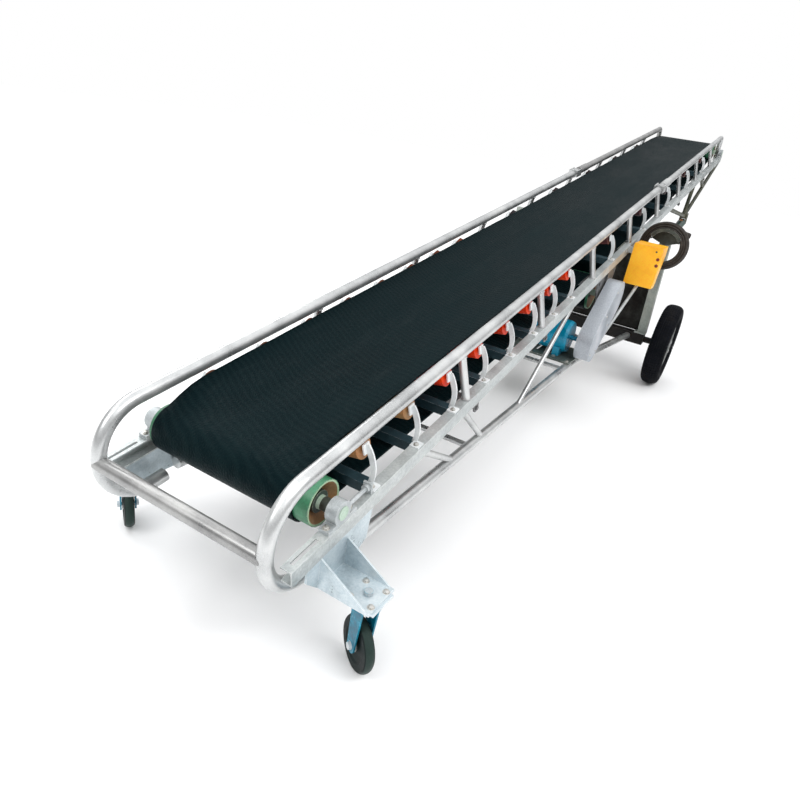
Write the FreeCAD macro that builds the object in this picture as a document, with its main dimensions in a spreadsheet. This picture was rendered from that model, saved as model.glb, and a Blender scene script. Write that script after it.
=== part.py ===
import FreeCAD, Part
import math
import os
from FreeCAD import Placement, Rotation, Vector

# Mobile belt conveyor: a troughed rubber belt on an inclined channel-and-tube frame, low at the tail
# and high at the discharge end. Two road wheels on an axle under the middle and two swivel castors at
# the tail carry it. The outer frame luffs about a pin in the top rails, pushed by two cylinders.
#
# Millimetres and degrees, +X towards the discharge end, +Y left, +Z up, ground at Z = 0. Most pieces are
# laid out in the deck frame, which is tilted by the incline: u along the top rails, v across and w square
# to the rails, with its zero on the rails' centre line at the first rail post.

doc = FreeCAD.newDocument("mobile_belt_conveyor")
sheet = doc.addObject("Spreadsheet::Sheet", "Sizes")

SIZES = {
    # stance and overall layout
    "incline": 9.65, "deck_height": 785, "rail_half": 332.5, "tail_bend_u": -905,
    "head_end_u": 6330, "hinge_u": 3300, "bay": 800, "hinge_gap": 5,
    # top rails
    "rail_od": 48, "tail_bend_radius": 170, "lower_leg_u": -860, "head_bend_radius": 60,
    "collar_od": 66, "collar_length": 54, "cheek_thickness": 9, "cheek_height": 50, "cheek_gap": 2,
    "cheek_overhang": 28, "hinge_pin_od": 18, "hinge_bore_gap": 1, "sleeve_od": 56, "sleeve_length": 210,
    "cross_tube_w": -150,
    # side channels
    "channel_top_w": -190, "channel_depth": 55, "channel_flange": 40, "channel_wall": 5,
    "channel_tail_u": -1045, "weld_gap": 0.3, "slot_length": 110, "slot_width": 12, "slot_u": -1020,
    # rail posts
    "post_od": 32, "post_foot_inset": 20,
    # idlers
    "idler_first_u": -623, "idler_pitch": 267, "idler_far_first_u": 2000, "trough_angle": 12,
    "roller_od": 76, "roller_length": 214, "roller_shaft_od": 20, "roller_axis_w": -114,
    "stand_v": 105, "stand_thickness": 6, "stand_width": 36, "angle_leg": 38, "angle_wall": 5,
    "bracket_thickness": 6, "tab_width": 34,
    # belt
    "belt_half": 292, "belt_thickness": 8, "belt_gap": 0.3,
    "return_w": -272, "trough_tail_u": -660, "trough_head_u": 5650,
    # tail drum
    "tail_drum_u": -818, "tail_drum_w": -150, "tail_drum_od": 150, "tail_drum_inset": 7.5, "drum_inset": 27.5,
    "drum_shaft_od": 44, "drum_cone_depth": 30, "drum_rim": 7, "drum_hub_wall": 14,
    # head drum
    "head_drum_u": 6262, "head_drum_w": -150, "head_drum_od": 150,
    # bearings
    "bearing_od": 76, "bearing_foot": 134, "bearing_foot_height": 14,
    # drive
    "drive_u": 2030, "drive_w": -440, "drive_drum_od": 220, "drive_shaft_od": 40, "hanger_gap": 3.2,
    "hanger_thickness": 8, "hanger_width": 150, "motor_x": 1750, "motor_z": 455, "motor_od": 200,
    "motor_gap": 62, "motor_length": 345, "motor_shaft_od": 28, "base_x": 1600, "base_length": 330,
    "base_thickness": 12, "guard_gap": 20, "guard_width": 92, "guard_wall": 3, "guard_small_r": 112,
    "guard_large_r": 112, "guard_shaft_gap": 3,
    # return rollers
    "return_roller_half": 300, "return_first_u": 150, "return_pitch": 800,
    # lower chords
    "chord_out": 30, "chord_od": 44, "chord_tail_x": -715, "chord_bend_x": 1760, "chord_axle_y": 500,
    "chord_bend_radius": 300,
    "strut_od": 27, "slim_strut_od": 24,
    # castors and their brackets
    "castor_x": -796, "castor_out": 162.5, "plate_z": 290, "plate_length": 136, "plate_thickness": 10,
    "plate_reach": 47, "gusset_thickness": 6, "web_plate_thickness": 8, "castor_wheel_od": 180,
    "castor_wheel_width": 34, "castor_trail": 8, "castor_plate": 110, "castor_plate_thickness": 6,
    "swivel_gap": 1, "kingpin_od": 16, "kingpin_gap": 1, "fork_thickness": 5, "fork_gap": 6,
    "castor_axle_od": 12, "castor_swivel": 57,
    # carriage
    "axle_x": 2810, "axle_z": 300, "axle_bar": 80, "axle_half": 610, "stub_od": 45, "stub_half": 806,
    "leg_bar": 60, "leg_foot_y": 585, "leg_top_y": 555, "leg_rise": 75, "beam_drop": 59,
    "beam_height": 60, "panel_thickness": 8, "panel_x": 2842, "panel_drop": 65,
    # road wheels
    "wheel_y": 747.5, "tyre_od": 600, "tyre_width": 116, "rim_od": 380, "rim_width": 84, "hub_od": 96,
    "hub_width": 112,
    "wheel_gap": 1,
    # boom truss and cylinders
    "node_u": 4750, "node_w": -520, "truss_inset": 25.2, "truss_od": 34, "eye_drop": 55, "eye_od": 56,
    "eye_width": 36, "eye_pin_od": 24, "eye_gap": 1, "open_eye_gap": 4, "lug_gap": 6, "lug_thickness": 9,
    "barrel_od": 76, "barrel_length": 900, "rod_od": 40, "rod_gap": 0.5, "base_pin_x": 3000,
    "base_pin_z": 620,
    # control box and cable
    "box_x": 2300, "box_depth": 200, "box_gap": 33.2, "box_width": 182, "box_z": 760, "box_height": 262,
    "arm_bar": 40, "coil_x": 2574, "coil_gap": 173.2, "coil_z": 1010, "coil_width": 60, "coil_inner_r": 100,
    "coil_outer_r": 160, "saddle_wall": 5.5, "arm_plate": 24, "cable_od": 14, "lead_out": 123, "plug_od": 50,
    "plug_length": 104, "plug_sleeve": 56, "plug_out": 120, "plug_turn": 110, "plug_lean": 30,
    "conduit_od": 20, "gland_od": 30,
}
for row, (alias, value) in enumerate(SIZES.items(), start=1):
    sheet.set(f"A{row}", alias)
    sheet.set(f"B{row}", str(value))
    sheet.setAlias(f"B{row}", alias)
doc.recompute()


def size(alias):
    return float(sheet.get(alias))


TILT = math.radians(size("incline"))
X, Y, Z = Vector(1, 0, 0), Vector(0, 1, 0), Vector(0, 0, 1)


def tilted(u, w):
    """Level X and Z of a deck point, before the deck is shifted to the origin."""
    return u * math.cos(TILT) - w * math.sin(TILT), u * math.sin(TILT) + w * math.cos(TILT)


RAIL_R = size("rail_od") / 2
CHANNEL_IN = size("rail_half") + RAIL_R + size("weld_gap")
CHANNEL_OUT = CHANNEL_IN + size("channel_flange")
CHANNEL_BOTTOM = size("channel_top_w") - size("channel_depth")
BEND_FRONT_U = size("tail_bend_u") - size("tail_bend_radius")

# The origin stands on the ground under the middle of the length.
TAIL_REACH = tilted(size("tail_bend_u"), -size("tail_bend_radius"))[0] - size("tail_bend_radius") - RAIL_R
HEAD_REACH = tilted(size("head_end_u") + RAIL_R, CHANNEL_BOTTOM)[0]
SHIFT_X = -(TAIL_REACH + HEAD_REACH) / 2
DECK = Placement(Vector(SHIFT_X, 0, size("deck_height")), Rotation(Y, -size("incline")))
LEVEL = Placement(Vector(SHIFT_X, 0, 0), Rotation())


def deck_of(x, z):
    """Deck u and w of a level point given in the unshifted X."""
    z = z - size("deck_height")
    return x * math.cos(TILT) + z * math.sin(TILT), z * math.cos(TILT) - x * math.sin(TILT)


def level_of(u, w):
    x, z = tilted(u, w)
    return x, z + size("deck_height")


# ---------------------------------------------------------------- building blocks

pieces = {}
serial = 0


def new(kind, name):
    global serial
    serial += 1
    return doc.addObject(kind, f"{name}_{serial}")


def set_size(item, prop, value):
    """Bind a property to the sheet when the value is an expression, else set it."""
    if isinstance(value, str):
        item.setExpression(prop, value)
    else:
        setattr(item, prop, value)


def sized(value):
    """The number behind an alias or a plain number."""
    return size(value) if isinstance(value, str) else value


def rod(name, start, end, diameter):
    start, end = Vector(*start), Vector(*end)
    item = new("Part::Cylinder", name)
    set_size(item, "Radius", f"Sizes.{diameter} / 2" if isinstance(diameter, str) else diameter / 2)
    item.Height = (end - start).Length
    item.Placement = Placement(start, Rotation(Z, end - start))
    return item


def block(name, low, high):
    low, high = Vector(*low), Vector(*high)
    item = new("Part::Box", name)
    item.Length, item.Width, item.Height = high.x - low.x, high.y - low.y, high.z - low.z
    item.Placement = Placement(low, Rotation())
    return item


def bar(name, start, end, width, height, up=Z):
    """Rectangular bar between two points, its width square to up and to its run."""
    start, end = Vector(*start), Vector(*end)
    run = (end - start).normalize()
    across = up.cross(run).normalize()
    item = new("Part::Box", name)
    item.Length = (end - start).Length
    set_size(item, "Width", f"Sizes.{width}" if isinstance(width, str) else width)
    set_size(item, "Height", f"Sizes.{height}" if isinstance(height, str) else height)
    turn = Rotation(run, across, run.cross(across), "XYZ")
    corner = start - across * (sized(width) / 2) - run.cross(across) * (sized(height) / 2)
    item.Placement = Placement(corner, turn)
    return item


def ring(name, centre, first, second, radius, diameter, angle):
    """Part of a torus from the direction first, turning towards second."""
    item = new("Part::Torus", name)
    set_size(item, "Radius1", f"Sizes.{radius}" if isinstance(radius, str) else radius)
    set_size(item, "Radius2", f"Sizes.{diameter} / 2" if isinstance(diameter, str) else diameter / 2)
    item.Angle3 = angle
    item.Placement = Placement(Vector(*centre), Rotation(first, second, first.cross(second), "XYZ"))
    return item


def draw(sketch, outline, holes=()):
    """Closed outline of points in a sketch; ("arc", middle, end) reaches its end by an arc."""
    here = Vector(*outline[0], 0)
    for step in list(outline[1:]) + [outline[0]]:
        if step[0] == "arc":
            middle, end = Vector(*step[1], 0), Vector(*step[2], 0)
            sketch.addGeometry(Part.Arc(here, middle, end), False)
        else:
            end = Vector(*step, 0)
            if (end - here).Length < 1e-6:
                continue
            sketch.addGeometry(Part.LineSegment(here, end), False)
        here = end
    for centre, radius in holes:
        sketch.addGeometry(Part.Circle(Vector(*centre, 0), Z, radius), False)


def sketched_body(name, role):
    """A body with one empty sketch on an origin plane."""
    body = new("PartDesign::Body", name)
    sketch = body.newObject("Sketcher::SketchObject", f"{name}_sketch_{serial}")
    origin_plane = next(f for f in body.Origin.OriginFeatures if f.Role == role)
    sketch.AttachmentSupport = [(origin_plane, "")]
    sketch.MapMode = "FlatFace"
    return body, sketch


def padded(name, outline, length, plane="XZ", offset=0.0, holes=()):
    """A sketched outline padded square to its plane: XZ pads to +Y, YZ to +X and XY to +Z."""
    body, sketch = sketched_body(name, f"{plane}_Plane")
    draw(sketch, outline, holes)
    pad = body.newObject("PartDesign::Pad", f"{name}_pad_{serial}")
    pad.Profile = sketch
    set_size(pad, "Length", f"Sizes.{length}" if isinstance(length, str) else length)
    pad.Reversed = plane == "XZ"
    body.Tip = pad
    shift = {"XZ": Vector(0, offset, 0), "YZ": Vector(offset, 0, 0), "XY": Vector(0, 0, offset)}[plane]
    body.Placement = Placement(shift, Rotation())
    return body


def turned(name, outline, centre, axis=Y):
    """A half outline of (along the axis, radius) points revolved about an axis through the centre."""
    body, sketch = sketched_body(name, "XY_Plane")
    draw(sketch, outline)
    spin = body.newObject("PartDesign::Revolution", f"{name}_revolution_{serial}")
    spin.Profile = sketch
    spin.ReferenceAxis = (sketch, ["H_Axis"])
    spin.Angle = 360
    body.Tip = spin
    body.Placement = Placement(Vector(*centre), Rotation(X, axis))
    return body


def joined(name, items):
    if len(items) == 1:
        return items[0]
    fused = new("Part::MultiFuse", name)
    fused.Shapes = items
    return fused


def together(name, items):
    group = new("Part::Compound", name)
    group.Links = items
    return group


def less(name, base, tools):
    cut = new("Part::Cut", name)
    cut.Base = base
    cut.Tool = tools[0] if len(tools) == 1 else together(f"{name}_tools", tools)
    return cut


def node(label, item, frame=LEVEL):
    """Register a finished sub-part under its node name and set it in its frame."""
    item.Label = label
    item.Placement = frame.multiply(item.Placement)
    pieces[label] = item
    return item


SIDES = (("left", 1), ("right", -1))
FAR = 40  # how far a cutting tool reaches past what it trims


def tube_line(name, points, diameter):
    """Round bar through a list of points, rounded at its corners."""
    items = []
    for start, end in zip(points, points[1:]):
        items.append(rod(name, start, end, diameter))
    for corner in points[1:-1]:
        ball = new("Part::Sphere", name)
        set_size(ball, "Radius", f"Sizes.{diameter} / 2" if isinstance(diameter, str) else diameter / 2)
        ball.Placement = Placement(Vector(*corner), Rotation())
        items.append(ball)
    return joined(name, items)


def deck_tool(name, low, high):
    """A cutting block laid in the deck frame, for pieces that are built level."""
    item = block(name, low, high)
    tilt = Placement(Vector(0, 0, size("deck_height")), Rotation(Y, -size("incline")))
    item.Placement = tilt.multiply(item.Placement)
    return item


# ---------------------------------------------------------------- top rails and hinge

REAR_POSTS = [n * size("bay") for n in range(5)]
HEAD_POSTS = [n * size("bay") for n in range(5, 8)]
RAIL_V = size("rail_half")
HINGE_U = size("hinge_u")
COLLAR_HEAD_U = HINGE_U - size("cheek_overhang") - 2
COLLAR_TAIL_U = COLLAR_HEAD_U - size("collar_length")
LEG_U = size("head_end_u") - size("head_bend_radius")

for side, s in SIDES:
    v = s * RAIL_V
    bend_w = -size("tail_bend_radius")
    tail_u = size("tail_bend_u")
    parts = [
        rod("rail_run", (tail_u, v, 0), (COLLAR_HEAD_U, v, 0), "rail_od"),
        ring("rail_bend", (tail_u, v, bend_w), Z, -X, "tail_bend_radius", "rail_od", 180),
        rod("rail_return", (tail_u, v, 2 * bend_w), (size("lower_leg_u"), v, 2 * bend_w), "rail_od"),
        rod("hinge_collar", (COLLAR_TAIL_U, v, 0), (COLLAR_HEAD_U, v, 0), "collar_od"),
    ]
    cheek_in = RAIL_R + size("cheek_gap")
    for way in (1, -1):
        inner, outer = v + way * cheek_in, v + way * (cheek_in + size("cheek_thickness"))
        half = size("cheek_height") / 2
        tip_u = HINGE_U + size("cheek_overhang")
        cheek = block("hinge_cheek", (COLLAR_TAIL_U, min(inner, outer), -half),
                      (tip_u, max(inner, outer), half))
        parts.append(cheek)
    pin_half = cheek_in + size("cheek_thickness")
    parts.append(rod("hinge_pin", (HINGE_U, v - pin_half, 0), (HINGE_U, v + pin_half, 0), "hinge_pin_od"))
    node(f"top_rail_rear_{side}", joined("rear_rail", parts), DECK)

    nose = new("Part::Sphere", "rail_nose")
    nose.setExpression("Radius", "Sizes.rail_od / 2")
    nose.Placement = Placement(Vector(HINGE_U, v, 0), Rotation())
    sleeve_u = HINGE_U + size("cheek_overhang") + 17
    head_rail = joined("head_rail", [
        nose,
        rod("head_run", (HINGE_U, v, 0), (LEG_U, v, 0), "rail_od"),
        rod("rail_sleeve", (sleeve_u, v, 0), (sleeve_u + size("sleeve_length"), v, 0), "sleeve_od"),
        ring("head_bend", (LEG_U, v, -size("head_bend_radius")), Z, X, "head_bend_radius", "rail_od", 90),
        rod("head_leg", (size("head_end_u"), v, -size("head_bend_radius")),
            (size("head_end_u"), v, CHANNEL_BOTTOM), "rail_od"),
    ])
    bore_r = size("hinge_pin_od") / 2 + size("hinge_bore_gap")
    bore = rod("hinge_bore", (HINGE_U, v - FAR, 0), (HINGE_U, v + FAR, 0), 2 * bore_r)
    node(f"top_rail_head_{side}", less("head_rail_bored", head_rail, [bore]), DECK)

# The round bar that ties the two tail bends together, coped to both.
bend_front = [ring("cope", (size("tail_bend_u"), s * RAIL_V, -size("tail_bend_radius")), Z, -X,
                   "tail_bend_radius", size("rail_od") + 2 * size("weld_gap"), 180) for _, s in SIDES]
cross_u, cross_w = BEND_FRONT_U, size("cross_tube_w")
tie = rod("tail_tie", (cross_u, -RAIL_V, cross_w), (cross_u, RAIL_V, cross_w), "rail_od")
outer_trim = [block("tie_trim", (cross_u - FAR, min(s * RAIL_V, s * (RAIL_V + FAR)), cross_w - FAR),
                    (cross_u + FAR, max(s * RAIL_V, s * (RAIL_V + FAR)), cross_w + FAR)) for _, s in SIDES]
node("tail_cross_tube", less("tail_tie_coped", tie, bend_front + outer_trim), DECK)

# ---------------------------------------------------------------- side channels and rail posts

top_w, wall = size("channel_top_w"), size("channel_wall")
split = size("hinge_gap")
for span, u0, u1 in (("rear", size("channel_tail_u"), HINGE_U - split),
                     ("head", HINGE_U + split, size("head_end_u"))):
    for side, s in SIDES:
        outline = [(s * CHANNEL_IN, top_w), (s * CHANNEL_OUT, top_w), (s * CHANNEL_OUT, CHANNEL_BOTTOM),
                   (s * CHANNEL_IN, CHANNEL_BOTTOM), (s * CHANNEL_IN, CHANNEL_BOTTOM + wall),
                   (s * (CHANNEL_OUT - wall), CHANNEL_BOTTOM + wall), (s * (CHANNEL_OUT - wall), top_w - wall),
                   (s * CHANNEL_IN, top_w - wall)]
        channel = padded("channel", outline, u1 - u0, "YZ", u0)
        if span == "rear":
            slot_v = s * (CHANNEL_IN + 18)
            half = size("slot_width") / 2
            slot = block("take_up_slot", (size("slot_u"), slot_v - half, top_w - wall - 1),
                         (size("slot_u") + size("slot_length"), slot_v + half, top_w + 1))
            channel = less("slotted_channel", channel, [slot])
        node(f"side_channel_{span}_{side}", channel, DECK)

POST_FOOT_V = CHANNEL_IN + size("post_foot_inset")
for span, stations, u0, u1 in (("rear", REAR_POSTS, size("tail_bend_u"), HINGE_U),
                               ("head", HEAD_POSTS, HINGE_U, size("head_end_u"))):
    posts, copes = [], []
    for _, s in SIDES:
        for u in stations:
            foot = Vector(u, s * POST_FOOT_V, top_w)
            top = Vector(u, s * RAIL_V, 0)
            below = foot + (foot - top).normalize() * 10
            posts.append(rod("post", tuple(below), tuple(top), "post_od"))
        copes.append(rod("rail_cope", (u0 - FAR, s * RAIL_V, 0), (u1 + FAR, s * RAIL_V, 0),
                         size("rail_od") + 2 * size("weld_gap")))
        low = min(s * POST_FOOT_V, s * (POST_FOOT_V + FAR)) - FAR
        copes.append(block("foot_trim", (u0 - FAR, low, top_w - FAR), (u1 + FAR, low + 3 * FAR, top_w)))
    node(f"rail_posts_{span}", less("posts_coped", together("posts", posts), copes), DECK)

# ---------------------------------------------------------------- idlers

REAR_IDLERS = [size("idler_first_u") + n * size("idler_pitch") for n in range(8)]
REAR_IDLERS += [size("idler_far_first_u") + n * size("bay") for n in range(2)]
HEAD_IDLERS = [HINGE_U + 300 + n * size("bay") for n in range(3)]
ROLLER_R = size("roller_od") / 2
SHAFT_R = size("roller_shaft_od") / 2
AXIS_W = size("roller_axis_w")
TROUGH = math.radians(size("trough_angle"))
STAND_OUT = size("stand_v") + size("stand_thickness") / 2
STAND_IN = size("stand_v") - size("stand_thickness") / 2
# A wing roller starts where its tilted end clears the stand, and its shaft ends on the bracket's seat.
WING_START = (STAND_OUT - size("stand_v") + ROLLER_R * math.sin(TROUGH)) / math.cos(TROUGH) + 0.6
WING_SHAFT = (STAND_OUT - size("stand_v") + SHAFT_R * math.sin(TROUGH)) / math.cos(TROUGH) + 0.3
WING_END = WING_START + size("roller_length")
SEAT_START = WING_END + 8
SEAT_THICKNESS = 6


def wing_point(u, s, along, across=0.0):
    """Deck point on a wing roller's axis, and across it towards the belt."""
    v = size("stand_v") + along * math.cos(TROUGH) - across * math.sin(TROUGH)
    return u, s * v, AXIS_W + along * math.sin(TROUGH) + across * math.cos(TROUGH)


def cross_member(u):
    leg, thick = size("angle_leg"), size("angle_wall")
    u0, u1 = u - leg / 2, u + leg / 2
    bottom = top_w - leg
    outline = [(u0, top_w), (u1, top_w), (u1, top_w - thick), (u0 + thick, top_w - thick),
               (u0 + thick, bottom), (u0, bottom)]
    half = CHANNEL_IN - size("weld_gap")
    angle = padded("cross_angle", outline, 2 * half, "XZ", -half)
    stands = []
    for _, s in SIDES:
        v = s * size("stand_v")
        half_t, half_w = size("stand_thickness") / 2, size("stand_width") / 2
        stands.append(block("roller_stand", (u - half_w, v - half_t, top_w - thick),
                            (u + half_w, v + half_t, AXIS_W + 14)))
    return joined("cross_member", [angle] + stands)


def idler_rollers(u):
    half = STAND_IN - 5
    centre = turned("centre_roller", [
        (-STAND_IN, 0), (-STAND_IN, SHAFT_R), (-half, SHAFT_R), (-half, ROLLER_R), (half, ROLLER_R),
        (half, SHAFT_R), (STAND_IN, SHAFT_R), (STAND_IN, 0)], (u, 0, AXIS_W))
    rollers = [centre]
    for _, s in SIDES:
        start = Vector(*wing_point(u, s, 0))
        axis = Vector(*wing_point(u, s, 1)) - start
        outline = [(WING_SHAFT, 0), (WING_SHAFT, SHAFT_R), (WING_START, SHAFT_R), (WING_START, ROLLER_R),
                   (WING_END, ROLLER_R), (WING_END, SHAFT_R), (SEAT_START, SHAFT_R), (SEAT_START, 0)]
        rollers.append(turned("wing_roller", outline, tuple(start), axis))
    return rollers


def idler_bracket(u, s):
    """Flat hooked bracket from the wing roller's end, under the rail and down to the channel."""
    thick = size("bracket_thickness")
    seat_v = wing_point(0, 1, SEAT_START)[1]
    out = RAIL_V
    outline = [(s * (seat_v + 2), -52), (s * (out + 16), -46),
               ("arc", (s * (out + 41), -106), (s * (out + 38), -178)),
               (s * (out + 36), top_w), (s * (out + 16), top_w), (s * (out + 20), -176),
               ("arc", (s * (out + 22), -118), (s * (out + 7), -78)), (s * (seat_v + 3), -84)]
    band = padded("bracket_band", outline, thick, "YZ", u - thick / 2)
    start, end = wing_point(u, s, SEAT_START + 0.3), wing_point(u, s, SEAT_START + SEAT_THICKNESS)
    seat = bar("roller_seat", start, end, 32, 34)
    tab_half = size("tab_width")
    tab_low, tab_high = sorted((s * (CHANNEL_IN + 1), s * (CHANNEL_OUT - 4)))
    tab = block("bracket_tab", (u - tab_half, tab_low, top_w), (u + thick / 2, tab_high, top_w + thick))
    return joined("idler_bracket", [band, seat, tab])


for span, stations in (("rear", REAR_IDLERS), ("head", HEAD_IDLERS)):
    node(f"cross_members_{span}", together("members", [cross_member(u) for u in stations]), DECK)
    node(f"idler_rollers_{span}", together("idlers", [r for u in stations for r in idler_rollers(u)]), DECK)
    node(f"idler_brackets_{span}",
         together("brackets", [idler_bracket(u, s) for u in stations for _, s in SIDES]), DECK)

# ---------------------------------------------------------------- drums and their bearings


def drum(centre, radius, half, shaft_od, shaft_half, extra=()):
    """Belt drum with a dished cone at each end and a through shaft, turned about Y."""
    dish, rim = size("drum_cone_depth"), size("drum_rim")
    shaft_r, hub_r = shaft_od / 2, shaft_od / 2 + size("drum_hub_wall")
    near = [(-shaft_half, 0), (-shaft_half, shaft_r)] if not extra else list(extra)
    outline = near + [(-half + 12, shaft_r), (-half + 12, hub_r), (-half + dish, hub_r), (-half, radius - rim),
                      (-half, radius), (half, radius), (half, radius - rim), (half - dish, hub_r),
                      (half - 12, hub_r), (half - 12, shaft_r), (shaft_half, shaft_r), (shaft_half, 0)]
    return turned("drum", outline, centre)


tail_centre = (size("tail_drum_u"), 0, size("tail_drum_w"))
head_centre = (size("head_drum_u"), 0, size("head_drum_w"))
SHAFT_END = CHANNEL_OUT + 2
TAIL_HALF, DRUM_HALF = RAIL_V - size("tail_drum_inset"), RAIL_V - size("drum_inset")
SHAFT_OD = size("drum_shaft_od")
node("tail_drum", drum(tail_centre, size("tail_drum_od") / 2, TAIL_HALF, SHAFT_OD, SHAFT_END), DECK)
node("head_drum", drum(head_centre, size("head_drum_od") / 2, DRUM_HALF, SHAFT_OD, SHAFT_END), DECK)


def pillow_block(centre, s, take_up):
    """Housing on a foot that stands on the channel's top flange, with the take-up screw at the tail."""
    u, w = centre[0], centre[2]
    housing_r = size("bearing_od") / 2
    v0, v1 = sorted((s * (CHANNEL_IN + 1), s * (CHANNEL_OUT - 1)))
    foot_half, foot_top = size("bearing_foot") / 2, top_w + size("bearing_foot_height")
    items = [
        rod("bearing_housing", (u, v0, w), (u, v1, w), 2 * housing_r),
        block("bearing_foot", (u - foot_half, v0, top_w), (u + foot_half, v1, foot_top)),
        block("bearing_neck", (u - housing_r + 6, v0, top_w), (u + housing_r - 6, v1, w)),
    ]
    if take_up:
        middle, screw_w, lug_u = (v0 + v1) / 2, top_w + 24, u + 148
        items += [
            rod("take_up_screw", (u + 20, middle, screw_w), (lug_u + 24, middle, screw_w), 14),
            block("screw_lug", (lug_u, v0 + 4, top_w), (lug_u + 8, v1 - 4, screw_w + 16)),
            rod("screw_nut", (lug_u - 13, middle, screw_w), (lug_u, middle, screw_w), 26),
        ]
    bore = rod("bearing_bore", (u, v0 - 1, w), (u, v1 + 1, w), size("drum_shaft_od") + 2 * size("weld_gap"))
    return less("pillow_block", joined("bearing", items), [bore])


node("tail_bearings", together("bearings", [pillow_block(tail_centre, s, True) for _, s in SIDES]), DECK)
node("head_bearings", together("bearings", [pillow_block(head_centre, s, False) for _, s in SIDES]), DECK)

# ---------------------------------------------------------------- belt

THICK, GAP = size("belt_thickness"), size("belt_gap")
CARRY_W = AXIS_W + ROLLER_R + GAP
TAIL_R = size("tail_drum_od") / 2 + GAP
HEAD_R = size("head_drum_od") / 2 + GAP
DRIVE_R = size("drive_drum_od") / 2 + GAP
TAIL_U, TAIL_W = size("tail_drum_u"), size("tail_drum_w")
HEAD_U, HEAD_W = size("head_drum_u"), size("head_drum_w")
DRIVE_U, DRIVE_W = size("drive_u"), size("drive_w")
RETURN_W = size("return_w")
TAIL_FALL_U = size("return_first_u")
RETURN_LOW = RETURN_W - THICK
RETURN_AXIS = RETURN_LOW - GAP - ROLLER_R
SNUB_R = ROLLER_R + GAP
SNUB_OFF = DRIVE_R + THICK + SNUB_R
HEAD_RISE_U = HINGE_U + 2280


def trough_outline():
    """Section of the troughed belt across the deck: flat in the middle, its wings on the tilted rollers."""
    def corner(lift):
        return size("stand_v") - (ROLLER_R + GAP + lift) * math.tan(TROUGH / 2)

    def level(lift):
        return CARRY_W + lift

    wing = size("belt_half") - corner(THICK / 2)
    points = []
    for lift in (THICK, 0):
        v, w = corner(lift), level(lift)
        edge = (v + wing * math.cos(TROUGH), w + wing * math.sin(TROUGH))
        row = [(-edge[0], edge[1]), (-v, w), (v, w), edge]
        points += row if lift else row[::-1]
    return points


def flat_outline(top):
    half, inner = size("belt_half"), size("stand_v") - ROLLER_R * math.tan(TROUGH / 2)
    row = [-half, -inner, inner, half]
    return [(v, top) for v in row] + [(v, top - THICK) for v in row[::-1]]


def section(name, outline, u):
    sketch = new("Sketcher::SketchObject", name)
    draw(sketch, outline)
    sketch.Placement = Placement(Vector(u, 0, 0), Rotation(Y, Z, X, "XYZ"))
    return sketch


def change(name, u0, outline0, u1, outline1):
    """The stretch where the belt passes between flat and troughed."""
    loft = new("Part::Loft", name)
    loft.Sections = [section(name, outline0, u0), section(name, outline1, u1)]
    loft.Solid = True
    loft.Ruled = True
    return loft


def round_point(u, w, radius, degrees):
    angle = math.radians(degrees)
    return u + radius * math.cos(angle), w + radius * math.sin(angle)


LEAVE = 30
tail_flat_u = TAIL_U + LEAVE
drive_in, drive_out = DRIVE_R, DRIVE_R + THICK
snub_a, snub_b = DRIVE_U - SNUB_OFF, DRIVE_U + SNUB_OFF
belt_end = HINGE_U - split - 2
outer = [
    (tail_flat_u, TAIL_W + TAIL_R + THICK), (TAIL_U, TAIL_W + TAIL_R + THICK),
    ("arc", (TAIL_U - TAIL_R - THICK, TAIL_W), (TAIL_U, TAIL_W - TAIL_R - THICK)),
    (TAIL_FALL_U, RETURN_LOW), (snub_a, RETURN_LOW),
    ("arc", round_point(snub_a, RETURN_AXIS, SNUB_R, 45), (DRIVE_U - drive_out, RETURN_AXIS)),
    (DRIVE_U - drive_out, DRIVE_W),
    ("arc", (DRIVE_U, DRIVE_W - drive_out), (DRIVE_U + drive_out, DRIVE_W)),
    (DRIVE_U + drive_out, RETURN_AXIS),
    ("arc", round_point(snub_b, RETURN_AXIS, SNUB_R, 135), (snub_b, RETURN_LOW)), (belt_end, RETURN_LOW),
]
inner = [
    (belt_end, RETURN_W), (snub_b, RETURN_W),
    ("arc", round_point(snub_b, RETURN_AXIS, SNUB_R + THICK, 135), (DRIVE_U + drive_in, RETURN_AXIS)),
    (DRIVE_U + drive_in, DRIVE_W), ("arc", (DRIVE_U, DRIVE_W - drive_in), (DRIVE_U - drive_in, DRIVE_W)),
    (DRIVE_U - drive_in, RETURN_AXIS),
    ("arc", round_point(snub_a, RETURN_AXIS, SNUB_R + THICK, 45), (snub_a, RETURN_W)),
    (TAIL_FALL_U, RETURN_W), (TAIL_U, TAIL_W - TAIL_R),
    ("arc", (TAIL_U - TAIL_R, TAIL_W), (TAIL_U, TAIL_W + TAIL_R)),
    (tail_flat_u, TAIL_W + TAIL_R),
]
belt_width = 2 * size("belt_half")
trough_tail = size("trough_tail_u")
rear_belt = joined("rear_belt", [
    padded("belt_return", outer + inner, belt_width, "XZ", -size("belt_half")),
    change("belt_rise", tail_flat_u, flat_outline(TAIL_W + TAIL_R + THICK), trough_tail, trough_outline()),
    padded("belt_trough", trough_outline(), belt_end - trough_tail, "YZ", trough_tail),
])
node("belt_rear", rear_belt, DECK)

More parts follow.
